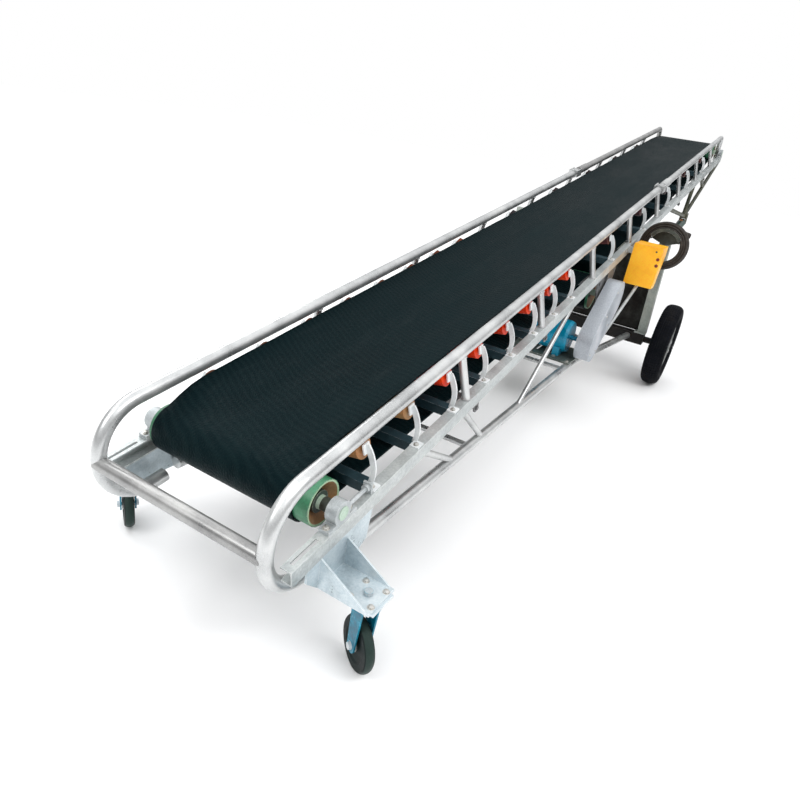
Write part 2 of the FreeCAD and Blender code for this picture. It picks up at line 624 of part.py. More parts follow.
head_flat_u = HEAD_U - 12
belt_start = HINGE_U + split + 2
trough_head = size("trough_head_u")
head_loop = [
    (head_flat_u, HEAD_W + HEAD_R + THICK), (HEAD_U, HEAD_W + HEAD_R + THICK),
    ("arc", (HEAD_U + HEAD_R + THICK, HEAD_W), (HEAD_U, HEAD_W - HEAD_R - THICK)),
    (HEAD_RISE_U, RETURN_LOW), (belt_start, RETURN_LOW), (belt_start, RETURN_W), (HEAD_RISE_U, RETURN_W),
    (HEAD_U, HEAD_W - HEAD_R), ("arc", (HEAD_U + HEAD_R, HEAD_W), (HEAD_U, HEAD_W + HEAD_R)),
    (head_flat_u, HEAD_W + HEAD_R),
]
head_belt = joined("head_belt", [
    padded("belt_return", head_loop, belt_width, "XZ", -size("belt_half")),
    change("belt_fall", trough_head, trough_outline(), head_flat_u, flat_outline(HEAD_W + HEAD_R + THICK)),
    padded("belt_trough", trough_outline(), trough_head - belt_start, "YZ", belt_start),
])
node("belt_head", head_belt, DECK)

# ---------------------------------------------------------------- return rollers

HANGER_IN, HANGER_T = CHANNEL_IN + size("hanger_gap"), size("bracket_thickness")
SHAFT_HALF = HANGER_IN + size("hanger_thickness") + 4
RETURN_REAR = [size("return_first_u"), size("return_first_u") + size("return_pitch"), HINGE_U - 300]
RETURN_HEAD = [HINGE_U + 1000, HINGE_U + 1700, HEAD_RISE_U]


def return_roller(u, w=RETURN_AXIS):
    half = size("return_roller_half")
    return turned("return_roller", [(-SHAFT_HALF, 0), (-SHAFT_HALF, SHAFT_R), (-half, SHAFT_R), (-half, ROLLER_R),
                                    (half, ROLLER_R), (half, SHAFT_R), (SHAFT_HALF, SHAFT_R),
                                    (SHAFT_HALF, 0)], (u, 0, w))


def roller_hanger(u, s):
    v0 = HANGER_IN if s > 0 else -HANGER_IN - HANGER_T
    outline = [(u - 20, CHANNEL_BOTTOM), (u + 20, CHANNEL_BOTTOM),
               (u + 20, RETURN_AXIS), ("arc", (u, RETURN_AXIS - 20), (u - 20, RETURN_AXIS))]
    return padded("roller_hanger", outline, HANGER_T, "XZ", v0, [((u, RETURN_AXIS), SHAFT_R + size("weld_gap"))])


for span, stations in (("rear", RETURN_REAR), ("head", RETURN_HEAD)):
    snubs = [snub_a, snub_b] if span == "rear" else []
    node(f"return_rollers_{span}", together("returns", [return_roller(u) for u in stations + snubs]), DECK)


def roller_hangers(stations):
    return [roller_hanger(u, s) for u in stations for _, s in SIDES]


node("return_hangers_head", together("hangers", roller_hangers(RETURN_HEAD)), DECK)

# ---------------------------------------------------------------- drive

MOTOR_X, MOTOR_Z = size("motor_x"), size("motor_z")
DRUM_X, DRUM_Z = level_of(DRIVE_U, DRIVE_W)
GUARD_BACK = -HANGER_IN - size("guard_gap")
GUARD_FRONT, MOTOR_Y = GUARD_BACK - size("guard_width"), GUARD_BACK + size("motor_gap")
GUARD_WALL = size("guard_wall")
PULLEY_NEAR, PULLEY_FAR = GUARD_FRONT + 4 * GUARD_WALL, GUARD_BACK - 4 * GUARD_WALL
DRIVE_SHAFT_OD = size("drive_shaft_od")

drive_near = [(PULLEY_NEAR, 0), (PULLEY_NEAR, 90), (PULLEY_FAR, 90), (PULLEY_FAR, DRIVE_SHAFT_OD / 2)]
node("drive_drum", drum((DRIVE_U, 0, DRIVE_W), size("drive_drum_od") / 2, DRUM_HALF, DRIVE_SHAFT_OD,
                        SHAFT_HALF + 10, drive_near), DECK)

hanger_t = size("hanger_thickness")
hangers = []
for _, s in SIDES:
    v0 = HANGER_IN if s > 0 else -HANGER_IN - hanger_t
    reach, foot = SNUB_OFF + 38, size("hanger_width") / 2
    outline = [(DRIVE_U - reach, CHANNEL_BOTTOM), (DRIVE_U + reach, CHANNEL_BOTTOM),
               (DRIVE_U + reach, RETURN_AXIS - 26), (DRIVE_U + foot, DRIVE_W - foot),
               (DRIVE_U - foot, DRIVE_W - foot), (DRIVE_U - reach, RETURN_AXIS - 26)]
    holes = [((DRIVE_U, DRIVE_W), DRIVE_SHAFT_OD / 2 + size("weld_gap"))]
    holes += [((u, RETURN_AXIS), SHAFT_R + size("weld_gap")) for u in (snub_a, snub_b)]
    plate = padded("drive_hanger", outline, hanger_t, "XZ", v0, holes)
    boss_end = GUARD_BACK + GAP if s < 0 else HANGER_IN + hanger_t + 8
    boss_start = s * (HANGER_IN + hanger_t)
    boss = rod("bearing_boss", (DRIVE_U, boss_start, DRIVE_W), (DRIVE_U, boss_end, DRIVE_W), 90)
    clear = rod("boss_bore", (DRIVE_U, boss_start, DRIVE_W), (DRIVE_U, boss_end, DRIVE_W),
                DRIVE_SHAFT_OD + 2 * size("weld_gap"))
    hangers.append(joined("hanger", [plate, less("boss", boss, [clear])]))
strap_v = GUARD_BACK + GAP
hangers.append(block("guard_strap", (DRIVE_U - 30, strap_v, DRIVE_W + 60),
                     (DRIVE_U + 30, strap_v + 8, CHANNEL_BOTTOM)))
node("return_hangers_rear", together("return_hangers", hangers + roller_hangers(RETURN_REAR)), DECK)


def guard_shell(inset, y_low, y_high):
    """Rounded casing around the two pulleys, from the motor's shaft up to the drum's."""
    small, large = size("guard_small_r") - inset, size("guard_large_r") - inset
    run = Vector(DRUM_X - MOTOR_X, DRUM_Z - MOTOR_Z, 0)
    along = math.atan2(run.y, run.x)
    lean = math.asin((large - small) / run.Length)
    up, down = along + math.pi / 2 + lean, along - math.pi / 2 - lean

    def on(x, z, radius, angle):
        return x + radius * math.cos(angle), z + radius * math.sin(angle)

    outline = [on(MOTOR_X, MOTOR_Z, small, up), on(DRUM_X, DRUM_Z, large, up),
               ("arc", on(DRUM_X, DRUM_Z, large, along), on(DRUM_X, DRUM_Z, large, down)),
               on(MOTOR_X, MOTOR_Z, small, down),
               ("arc", on(MOTOR_X, MOTOR_Z, small, along + math.pi), on(MOTOR_X, MOTOR_Z, small, up))]
    return padded("guard_shell", outline, y_high - y_low, "XZ", y_low)


shaft_holes = [
    rod("motor_hole", (MOTOR_X, GUARD_BACK - 2 * GUARD_WALL, MOTOR_Z), (MOTOR_X, GUARD_BACK + 1, MOTOR_Z),
        size("motor_shaft_od") + 2 * size("guard_shaft_gap")),
    rod("drum_hole", (DRUM_X, GUARD_BACK - 2 * GUARD_WALL, DRUM_Z), (DRUM_X, GUARD_BACK + 1, DRUM_Z),
        DRIVE_SHAFT_OD + 2 * size("guard_shaft_gap")),
]
cavity = guard_shell(GUARD_WALL, GUARD_FRONT + GUARD_WALL, GUARD_BACK - GUARD_WALL)
node("belt_guard", less("guard", guard_shell(0, GUARD_FRONT, GUARD_BACK), [cavity] + shaft_holes))

CHORD_R = size("chord_od") / 2
CHORD_Z = size("axle_z") + 5
BASE_TOP = CHORD_Z + CHORD_R + size("base_thickness")
BASE_X0, BASE_X1 = size("base_x"), size("base_x") + size("base_length")
CHORD_Y = RAIL_V + size("chord_out")
base_half = CHORD_Y + CHORD_R
base = block("base_plate", (BASE_X0, -base_half, CHORD_Z + CHORD_R), (BASE_X1, base_half, BASE_TOP))
base_slots = []
for y in (-250, -150, 60, 160):
    for x in (BASE_X0 + 90, BASE_X1 - 180):
        base_slots.append(block("adjusting_slot", (x, y, BASE_TOP - FAR), (x + 90, y + 16, BASE_TOP + FAR)))
node("motor_base", less("slotted_base", base, base_slots))

motor_r, motor_l = size("motor_od") / 2, size("motor_length")
body = turned("motor_body", [
    (PULLEY_NEAR - MOTOR_Y, 0), (PULLEY_NEAR - MOTOR_Y, 60), (PULLEY_FAR - MOTOR_Y, 60),
    (PULLEY_FAR - MOTOR_Y, size("motor_shaft_od") / 2), (0, size("motor_shaft_od") / 2), (0, motor_r - 6),
    (18, motor_r), (motor_l - 80, motor_r), (motor_l - 66, motor_r - 8), (motor_l - 10, motor_r - 12),
    (motor_l, motor_r - 24), (motor_l, 0)], (MOTOR_X, MOTOR_Y, MOTOR_Z))
feet = [block("motor_foot", (MOTOR_X - 85, MOTOR_Y + y, BASE_TOP), (MOTOR_X + 85, MOTOR_Y + y + 40, MOTOR_Z - 60))
        for y in (30, motor_l - 130)]
BOX_END_X = MOTOR_X + motor_r + 34
terminal = block("terminal_box", (MOTOR_X, MOTOR_Y + 120, MOTOR_Z - 45), (BOX_END_X, MOTOR_Y + 220, MOTOR_Z + 45))
node("drive_motor", joined("motor", [body, terminal] + feet))

# ---------------------------------------------------------------- lower chords and struts

AXLE_X, AXLE_Z, AXLE_HALF = size("axle_x"), size("axle_z"), size("axle_bar") / 2
for side, s in SIDES:
    bend_x, end_y = size("chord_bend_x"), size("chord_axle_y")
    turn = math.atan2(end_y - CHORD_Y, AXLE_X - bend_x)
    bend_r = size("chord_bend_radius")
    setback = bend_r * math.tan(turn / 2)
    leave = (bend_x + setback * math.cos(turn), s * (CHORD_Y + setback * math.sin(turn)), CHORD_Z)
    chord = joined("chord", [
        rod("chord_run", (size("chord_tail_x"), s * CHORD_Y, CHORD_Z), (bend_x - setback, s * CHORD_Y, CHORD_Z),
            "chord_od"),
        ring("chord_bend", (bend_x - setback, s * (CHORD_Y + bend_r), CHORD_Z), Y * -s, X, "chord_bend_radius",
             "chord_od", math.degrees(turn)),
        rod("drawbar", leave, (AXLE_X, s * end_y, CHORD_Z), "chord_od"),
    ])
    trim = block("axle_trim", (AXLE_X - AXLE_HALF, -3 * CHORD_Y, 0), (AXLE_X + 3 * FAR, 3 * CHORD_Y, 2 * AXLE_Z))
    node(f"lower_chord_{side}", less("chord_trimmed", chord, [trim]))

cope_od = size("chord_od") + 2 * size("weld_gap")
chord_copes = [rod("chord_cope", (size("chord_tail_x") - FAR, s * CHORD_Y, CHORD_Z),
                   (size("chord_bend_x") + FAR, s * CHORD_Y, CHORD_Z), cope_od) for _, s in SIDES]
chord_sides = [block("side_trim", (size("chord_tail_x") - FAR, min(s * CHORD_Y, s * 2 * CHORD_Y), 0),
                     (size("chord_bend_x") + FAR, max(s * CHORD_Y, s * 2 * CHORD_Y), 2 * AXLE_Z))
               for _, s in SIDES]
ties = [rod("chord_tie", (x, -CHORD_Y, CHORD_Z), (x, CHORD_Y, CHORD_Z), "strut_od")
        for x in (size("chord_tail_x") + 60, 220, 1560)]
coped_ties = less("ties", together("ties", ties), chord_copes + chord_sides)

struts = []
channel_y = (CHANNEL_IN + CHANNEL_OUT) / 2
for _, s in SIDES:
    for x_top, x_foot, diameter in ((-280, 60, "strut_od"), (30, 350, "strut_od"),
                                    (1340, 790, "slim_strut_od")):
        u_top = (x_top + CHANNEL_BOTTOM * math.sin(TILT)) / math.cos(TILT)
        z_top = level_of(u_top, CHANNEL_BOTTOM)[1]
        top, foot = Vector(x_top, s * channel_y, z_top), Vector(x_foot, s * CHORD_Y, CHORD_Z)
        past = top + (top - foot).normalize() * FAR
        struts.append(rod("strut", tuple(past), tuple(foot), diameter))
under_channel = deck_tool("channel_trim", (size("channel_tail_u"), -3 * CHORD_Y, CHANNEL_BOTTOM),
                          (HINGE_U, 3 * CHORD_Y, 0))
chord_copes = [rod("chord_cope", (size("chord_tail_x"), s * CHORD_Y, CHORD_Z),
                   (size("chord_bend_x"), s * CHORD_Y, CHORD_Z), cope_od) for _, s in SIDES]
coped_struts = less("struts", together("struts", struts), [under_channel] + chord_copes)
node("lower_braces", together("lower_braces", [coped_ties, coped_struts]))

# ---------------------------------------------------------------- castors and their brackets

CASTOR_X, CASTOR_Y, PLATE_Z = size("castor_x"), CHORD_Y + size("castor_out"), size("plate_z")
PLATE_OUT_Y = CASTOR_Y + size("plate_reach")
PLATE_T = size("plate_thickness")
WEB_IN = CHORD_Y + CHORD_R + size("weld_gap")
WEB_OUT = WEB_IN + size("web_plate_thickness")
PIN_OD, PIN_GAP = size("kingpin_od"), size("kingpin_gap")
TOP_T = size("castor_plate_thickness")
SWIVEL_Z = PLATE_Z - PLATE_T - TOP_T
for side, s in SIDES:
    def across(low, high):
        return min(s * low, s * high), max(s * low, s * high)
    x0, x1 = CASTOR_X - size("plate_length") / 2, CASTOR_X + size("plate_length") / 2
    y0, y1 = across(WEB_OUT, PLATE_OUT_Y)
    plate = block("castor_plate", (x0, y0, PLATE_Z - PLATE_T), (x1, y1, PLATE_Z))
    w0, w1 = across(WEB_IN, WEB_OUT)
    web = padded("bracket_web", [(x0 - 56, 440), (x1 + 130, 520), (x1 + 110, PLATE_Z + 30),
                                 (x1 + 40, PLATE_Z - PLATE_T), (x0, PLATE_Z - PLATE_T), (x0 - 56, PLATE_Z + 40)],
                 w1 - w0, "XZ", w0)
    gussets = []
    for x in (x0, x1 - size("gusset_thickness")):
        outline = [(s * WEB_OUT, PLATE_Z), (s * (PLATE_OUT_Y - 12), PLATE_Z), (s * WEB_OUT, PLATE_Z + 96)]
        gussets.append(padded("gusset", outline, "gusset_thickness", "YZ", x))
    pad_half = size("castor_plate") / 2
    flange = block("castor_flange", (CASTOR_X - pad_half, s * CASTOR_Y - pad_half, SWIVEL_Z),
                   (CASTOR_X + pad_half, s * CASTOR_Y + pad_half, PLATE_Z - PLATE_T))
    solid = joined("castor_bracket", [plate, web, flange] + gussets)
    bolt_y = across(CASTOR_Y - 35.5, CASTOR_Y + 35.5)
    holes = [rod("pin_hole", (CASTOR_X, s * CASTOR_Y, SWIVEL_Z - 1), (CASTOR_X, s * CASTOR_Y, PLATE_Z + 1),
                 PIN_OD + 2 * PIN_GAP)]
    holes += [rod("bolt_hole", (CASTOR_X + dx, y, SWIVEL_Z - 1), (CASTOR_X + dx, y, PLATE_Z + 1), 11)
              for dx in (-40.5, 40.5) for y in bolt_y]
    trim = deck_tool("web_trim", (size("channel_tail_u") - 3 * FAR, -3 * CHORD_Y, CHANNEL_BOTTOM),
                     (size("tail_drum_u") + 10 * FAR, 3 * CHORD_Y, 0))
    node(f"castor_bracket_{side}", less("bracket", solid, holes + [trim]))

swivel = math.radians(size("castor_swivel"))
HEADING = Vector(math.cos(swivel), math.sin(swivel), 0)
CASTOR_AXLE = Z.cross(HEADING)
WHEEL_R = size("castor_wheel_od") / 2
CROWN_TOP, CROWN_T = SWIVEL_Z - size("swivel_gap"), 22
castor_turn = Rotation(HEADING, CASTOR_AXLE, Z, "XYZ")
for side, s in SIDES:
    trail, leg_in = size("castor_trail"), size("castor_wheel_width") / 2 + size("fork_gap")
    leg_out = leg_in + size("fork_thickness")
    crown_low = CROWN_TOP - CROWN_T
    items = [
        rod("kingpin", (0, 0, crown_low), (0, 0, PLATE_Z + 2 * PIN_GAP), PIN_OD),
        rod("kingpin_nut", (0, 0, PLATE_Z + PIN_GAP), (0, 0, PLATE_Z + 13), 28),
        rod("fork_crown", (0, 0, crown_low), (0, 0, CROWN_TOP), 92),
    ]
    for way in (1, -1):
        y0 = leg_in if way > 0 else -leg_out
        outline = [(-36, CROWN_TOP), (36, CROWN_TOP), (trail + 24, WHEEL_R),
                   ("arc", (trail, WHEEL_R - 24), (trail - 24, WHEEL_R))]
        items.append(padded("fork_leg", outline, "fork_thickness", "XZ", y0))
        items.append(rod("axle_nut", (trail, way * leg_out, WHEEL_R), (trail, way * (leg_out + 9), WHEEL_R), 24))
    items.append(rod("castor_axle", (trail, -leg_out, WHEEL_R), (trail, leg_out, WHEEL_R), "castor_axle_od"))
    fork = joined("fork", items)
    seat = Placement(Vector(CASTOR_X, s * CASTOR_Y, 0), castor_turn)
    node(f"castor_fork_{side}", fork, LEVEL.multiply(seat))
    half = size("castor_wheel_width") / 2
    bore = size("castor_axle_od") / 2 + 0.5
    wheel = turned("castor_wheel", [
        (-half - 3, bore), (-half - 3, 20), (-half + 4, 24), (-half + 4, 52), (-half, 60), (-half, WHEEL_R - 8),
        ("arc", (0, WHEEL_R), (half, WHEEL_R - 8)), (half, 60), (half - 4, 52), (half - 4, 24),
        (half + 3, 20), (half + 3, bore)], (trail, 0, WHEEL_R))
    node(f"castor_wheel_{side}", wheel, LEVEL.multiply(seat))

# ---------------------------------------------------------------- axle and carriage

AXLE_REACH = size("axle_half")
axle = joined("axle", [
    block("axle_beam", (AXLE_X - AXLE_HALF, -AXLE_REACH, AXLE_Z - AXLE_HALF),
          (AXLE_X + AXLE_HALF, AXLE_REACH, AXLE_Z + AXLE_HALF)),
    rod("stub_axles", (AXLE_X, -size("stub_half"), AXLE_Z), (AXLE_X, size("stub_half"), AXLE_Z), "stub_od"),
])
node("axle_beam", axle)

AXLE_TOP = AXLE_Z + AXLE_HALF
LEG, FOOT_Y, LEG_TOP_Y = size("leg_bar"), size("leg_foot_y"), size("leg_top_y")
BEAM_TOP = (size("deck_height") + AXLE_X * math.tan(TILT) + CHANNEL_BOTTOM / math.cos(TILT)
            - size("beam_drop"))
PIN_X, PIN_Z = size("base_pin_x"), size("base_pin_z")
TRUSS_V = CHANNEL_IN + size("truss_inset")
EYE_HALF = size("eye_width") / 2
LUG_IN = EYE_HALF + size("lug_gap")
LUG_OUT = LUG_IN + size("lug_thickness")
beam_half = 40
frame_items = []
for _, s in SIDES:
    foot, top = (AXLE_X, s * FOOT_Y, AXLE_TOP), (AXLE_X, s * LEG_TOP_Y, BEAM_TOP + size("leg_rise"))
    frame_items.append(bar("carriage_leg", foot, top, LEG, LEG, X))
    frame_items.append(block("leg_shoe", (AXLE_X - AXLE_HALF, min(s * (FOOT_Y - 50), s * AXLE_REACH), AXLE_TOP),
                             (AXLE_X + AXLE_HALF, max(s * (FOOT_Y - 50), s * AXLE_REACH), AXLE_TOP + 12)))
    stand_y = sorted((s * (CHANNEL_IN + 2), s * CHANNEL_OUT))
    stand = block("channel_stand", (AXLE_X - 35, stand_y[0], BEAM_TOP - 10),
                  (AXLE_X + 35, stand_y[1], BEAM_TOP + 3 * FAR))
    above = deck_tool("stand_trim", (0, -3 * CHORD_Y, CHANNEL_BOTTOM), (HINGE_U, 3 * CHORD_Y, 0))
    frame_items.append(less("channel_stand", stand, [above]))
    for inner_way in (1, -1):
        y0, y1 = sorted((s * TRUSS_V + inner_way * LUG_IN, s * TRUSS_V + inner_way * LUG_OUT))
        frame_items.append(block("cylinder_lug", (size("panel_x"), y0, PIN_Z - 34),
                                 (PIN_X + 26, y1, PIN_Z + 30)))
    frame_items.append(rod("base_pin", (PIN_X, s * TRUSS_V - LUG_OUT, PIN_Z),
                           (PIN_X, s * TRUSS_V + LUG_OUT, PIN_Z),
                           "eye_pin_od"))
frame_items.append(block("upper_beam", (AXLE_X - beam_half, -LEG_TOP_Y, BEAM_TOP - size("beam_height")),
                         (AXLE_X + beam_half, LEG_TOP_Y, BEAM_TOP)))
frame_items.append(block("front_panel", (size("panel_x"), -FOOT_Y + 10, AXLE_TOP + 4),
                         (size("panel_x") + size("panel_thickness"), FOOT_Y - 10, BEAM_TOP - size("panel_drop"))))
under_foot = block("foot_trim", (AXLE_X - 2 * FAR, -AXLE_REACH - FAR, AXLE_Z - FAR),
                   (AXLE_X + 2 * FAR, AXLE_REACH + FAR, AXLE_TOP))
node("carriage_frame", less("carriage_seated", joined("carriage", frame_items), [under_foot]))

# ---------------------------------------------------------------- road wheels

WHEEL_Y, TYRE_R, TYRE_HALF = size("wheel_y"), size("tyre_od") / 2, size("tyre_width") / 2
RIM_R, HUB_R, HUB_HALF = size("rim_od") / 2, size("hub_od") / 2, size("hub_width") / 2
RIM_HALF = size("rim_width") / 2
for side, s in SIDES:
    centre = (AXLE_X, s * WHEEL_Y, AXLE_Z)
    shoulder = TYRE_R - 34
    tyre = turned("tyre", [
        (-TYRE_HALF + 16, RIM_R), (-TYRE_HALF, RIM_R + 46), (-TYRE_HALF, shoulder),
        ("arc", (-TYRE_HALF + 9, TYRE_R - 9), (-TYRE_HALF + 34, TYRE_R - 2)),
        ("arc", (0, TYRE_R), (TYRE_HALF - 34, TYRE_R - 2)),
        ("arc", (TYRE_HALF - 9, TYRE_R - 9), (TYRE_HALF, shoulder)),
        (TYRE_HALF, RIM_R + 46), (TYRE_HALF - 16, RIM_R)], centre)
    node(f"tyre_{side}", tyre)
    bore = size("stub_od") / 2 + size("wheel_gap")
    seat = RIM_R - size("weld_gap")
    rim = turned("rim", [
        (-HUB_HALF, bore), (-HUB_HALF, HUB_R), (-12, HUB_R), (-12, seat - 14), (-RIM_HALF, seat - 14),
        (-RIM_HALF, seat), (RIM_HALF, seat), (RIM_HALF, seat - 14), (-2, seat - 14), (-2, HUB_R),
        (HUB_HALF, HUB_R), (HUB_HALF, bore)], centre)
    node(f"rim_{side}", rim)

# ---------------------------------------------------------------- head truss and luffing cylinders

NODE_U, NODE_W = size("node_u"), size("node_w")
EYE_W = NODE_W - size("eye_drop")
trusses = []
for side, s in SIDES:
    v = s * TRUSS_V
    heart = (NODE_U, v, NODE_W)

    def lower_edge(u):
        share = (u - NODE_U) / (size("head_end_u") - 40 - NODE_U)
        return NODE_W + share * (CHANNEL_BOTTOM + 12 - NODE_W)
    runs = [
        rod("truss_chord", heart, (size("head_end_u") - 40, v, CHANNEL_BOTTOM + 12), "truss_od"),
        rod("truss_rear", heart, (NODE_U - 1060, v, CHANNEL_BOTTOM + 12), "truss_od"),
        rod("truss_post", (NODE_U - 60, v, NODE_W + 30), (NODE_U + 30, v, CHANNEL_BOTTOM + 12), "truss_od"),
        rod("truss_strut", (NODE_U + 750, v, lower_edge(NODE_U + 750)),
            (NODE_U + 440, v, CHANNEL_BOTTOM + 12), "truss_od"),
        block("eye_block", (NODE_U - 22, v - LUG_OUT, NODE_W - 19), (NODE_U + 50, v + LUG_OUT, NODE_W + 20)),
        rod("eye_pin", (NODE_U, v - LUG_OUT, EYE_W), (NODE_U, v + LUG_OUT, EYE_W), "eye_pin_od"),
    ]
    for way in (1, -1):
        y0, y1 = sorted((v + way * LUG_IN, v + way * LUG_OUT))
        runs.append(block("eye_lug", (NODE_U - 22, y0, EYE_W - 24), (NODE_U + 50, y1, NODE_W)))
    joint = joined("truss", runs)
    above = block("truss_trim", (HINGE_U, v - 2 * FAR, CHANNEL_BOTTOM),
                  (size("head_end_u") + FAR, v + 2 * FAR, 0))
    trusses.append(less("truss", joint, [above]))
node("under_truss", together("trusses", trusses), DECK)

BASE_U, BASE_W = deck_of(PIN_X, PIN_Z)
reach = Vector(BASE_U - NODE_U, 0, BASE_W - EYE_W)
CLOSED = reach.Length
EYE_R = size("eye_od") / 2
BARREL_START = EYE_R + 17
BARREL_END = BARREL_START + size("barrel_length")
ROD_START = BARREL_END - 430
cylinder_turn = Rotation(reach, Y, reach.cross(Y), "XYZ")
for side, s in SIDES:
    seat = DECK.multiply(Placement(Vector(NODE_U, s * TRUSS_V, EYE_W), cylinder_turn))
    body = joined("barrel", [
        rod("barrel_eye", (0, -EYE_HALF, 0), (0, EYE_HALF, 0), "eye_od"),
        block("barrel_neck", (8, -EYE_HALF, -20), (BARREL_START + 2, EYE_HALF, 20)),
        rod("barrel_tube", (BARREL_START, 0, 0), (BARREL_END, 0, 0), "barrel_od"),
        rod("gland_ring", (BARREL_END - 40, 0, 0), (BARREL_END, 0, 0), size("barrel_od") + 8),
    ])
    cuts = [
        rod("eye_bore", (0, -FAR, 0), (0, FAR, 0), size("eye_pin_od") + 2 * size("eye_gap")),
        rod("rod_bore", (ROD_START - 30, 0, 0), (BARREL_END + 1, 0, 0), size("rod_od") + 2 * size("rod_gap")),
    ]
    node(f"cylinder_barrel_{side}", less("barrel_bored", body, cuts), seat)
    ram = joined("ram", [
        rod("ram_rod", (ROD_START, 0, 0), (CLOSED - EYE_R + 4, 0, 0), "rod_od"),
        rod("ram_eye", (CLOSED, -EYE_HALF, 0), (CLOSED, EYE_HALF, 0), "eye_od"),
    ])
    open_bore = rod("open_bore", (CLOSED, -FAR, 0), (CLOSED, FAR, 0), size("eye_pin_od") + 2 * size("open_eye_gap"))
    node(f"cylinder_rod_{side}", less("ram_bored", ram, [open_bore]), seat)

# ---------------------------------------------------------------- control box, conduit and cable

BOX_X, BOX_Y, BOX_Z = size("box_x"), -CHANNEL_OUT - size("box_gap"), size("box_z")
BOX_TOP = BOX_Z + size("box_height")
BOX_BACK_X, BOX_FOOT_X = BOX_X + size("box_depth"), BOX_X + size("box_depth") / 2
box_outline = [(BOX_X, BOX_Z), (BOX_FOOT_X, BOX_Z), (BOX_BACK_X, BOX_TOP - 60), (BOX_BACK_X, BOX_TOP),
               (BOX_X, BOX_TOP)]


def control_box():
    return padded("box", box_outline, "box_width", "XZ", BOX_Y - size("box_width"))


node("control_box", control_box())

arm = size("arm_bar")
arm_z = level_of(deck_of(BOX_X + 100, 960)[0], top_w)[1] - 10 - arm
arms = [block("box_arm", (x, BOX_Y, arm_z), (x + arm, -CHANNEL_OUT, arm_z + arm))
        for x in (BOX_X + 30, BOX_X + 130)]
node("box_arms", together("arms", arms))

conduit_points = [(BOX_END_X, MOTOR_Y + 170, MOTOR_Z), (BASE_X1 + 14, MOTOR_Y + 170, MOTOR_Z),
                  (BASE_X1 + 14, BOX_Y - 10, MOTOR_Z - 68), (BOX_X + 50, BOX_Y - 90, BOX_Z + 8)]
box_trim = block("conduit_trim", (BOX_X - FAR, BOX_Y - size("box_width"), BOX_Z),
                 (BOX_BACK_X, BOX_Y + FAR, BOX_Z + FAR))
node("motor_conduit", less("conduit", tube_line("conduit", conduit_points, "conduit_od"), [box_trim]))

COIL_X, COIL_HALF = size("coil_x"), size("coil_width") / 2
COIL_Y, COIL_Z = -CHANNEL_OUT - size("coil_gap"), size("coil_z")
COIL_IN, COIL_OUT = size("coil_inner_r"), size("coil_outer_r")
CORNER = 14
node("cable_coil", turned("coil", [
    (-COIL_HALF, COIL_IN + CORNER), ("arc", (-COIL_HALF + 4, COIL_IN + 4), (-COIL_HALF + CORNER, COIL_IN)),
    (COIL_HALF - CORNER, COIL_IN), ("arc", (COIL_HALF - 4, COIL_IN + 4), (COIL_HALF, COIL_IN + CORNER)),
    (COIL_HALF, COIL_OUT - CORNER), ("arc", (COIL_HALF - 4, COIL_OUT - 4), (COIL_HALF - CORNER, COIL_OUT)),
    (-COIL_HALF + CORNER, COIL_OUT), ("arc", (-COIL_HALF + 4, COIL_OUT - 4), (-COIL_HALF, COIL_OUT - CORNER)),
], (COIL_X, COIL_Y, COIL_Z), X))


def half_ring(outer_r, inner_r, degrees):
    """Arched outline over the top of the coil's centre, open by the given angle at each side."""
    def on(radius, angle):
        return (COIL_Y + radius * math.cos(math.radians(angle)),
                COIL_Z + radius * math.sin(math.radians(angle)))
    return [on(outer_r, degrees), ("arc", on(outer_r, 90), on(outer_r, 180 - degrees)),
            on(inner_r, 180 - degrees), ("arc", on(inner_r, 90), on(inner_r, degrees))]


SADDLE_R = COIL_IN - 0.4
saddle_inner = SADDLE_R - size("saddle_wall")
coil_face0, coil_face1 = COIL_X - COIL_HALF, COIL_X + COIL_HALF
ARM_Y, ARM_Z, ARM_HALF = 3 - LEG_TOP_Y - LEG / 4, COIL_Z + 6, size("arm_plate") / 2
saddle = joined("saddle", [
    padded("saddle_shell", half_ring(SADDLE_R, saddle_inner, 20), coil_face1 - coil_face0, "YZ", coil_face0),
    padded("saddle_lip", half_ring(COIL_IN + 16, saddle_inner, 30), 5, "YZ", coil_face0 - 5.4),
    padded("saddle_lip_web", half_ring(SADDLE_R, saddle_inner, 30), 6, "YZ", coil_face0 - 5.4),
    padded("saddle_back", half_ring(SADDLE_R, 12, 20), 6, "YZ", coil_face1 - 6),
    block("saddle_arm", (coil_face1 - 6, ARM_Y - ARM_HALF, ARM_Z - ARM_HALF),
          (AXLE_X - LEG / 2 - 0.3, ARM_Y + ARM_HALF, ARM_Z + ARM_HALF)),
])
node("cable_saddle", saddle)

# The lead leaves the gland on the box's sloping back and runs up into the side of the coil.
LEAD_Y = COIL_Y + size("lead_out")
LEAD_POINTS = [(2441, LEAD_Y, 806), (2498, LEAD_Y, 816), (2539, LEAD_Y, 860), (2545.5, LEAD_Y, 921.5)]
lead_start, lead_next = Vector(*LEAD_POINTS[0]), Vector(*LEAD_POINTS[1])
gland_start = lead_start - (lead_next - lead_start).normalize() * (lead_start.x - BOX_FOOT_X)
gland = rod("gland", tuple(gland_start), LEAD_POINTS[0], "gland_od")
node("cable_gland", less("gland_end", gland, [control_box()]))


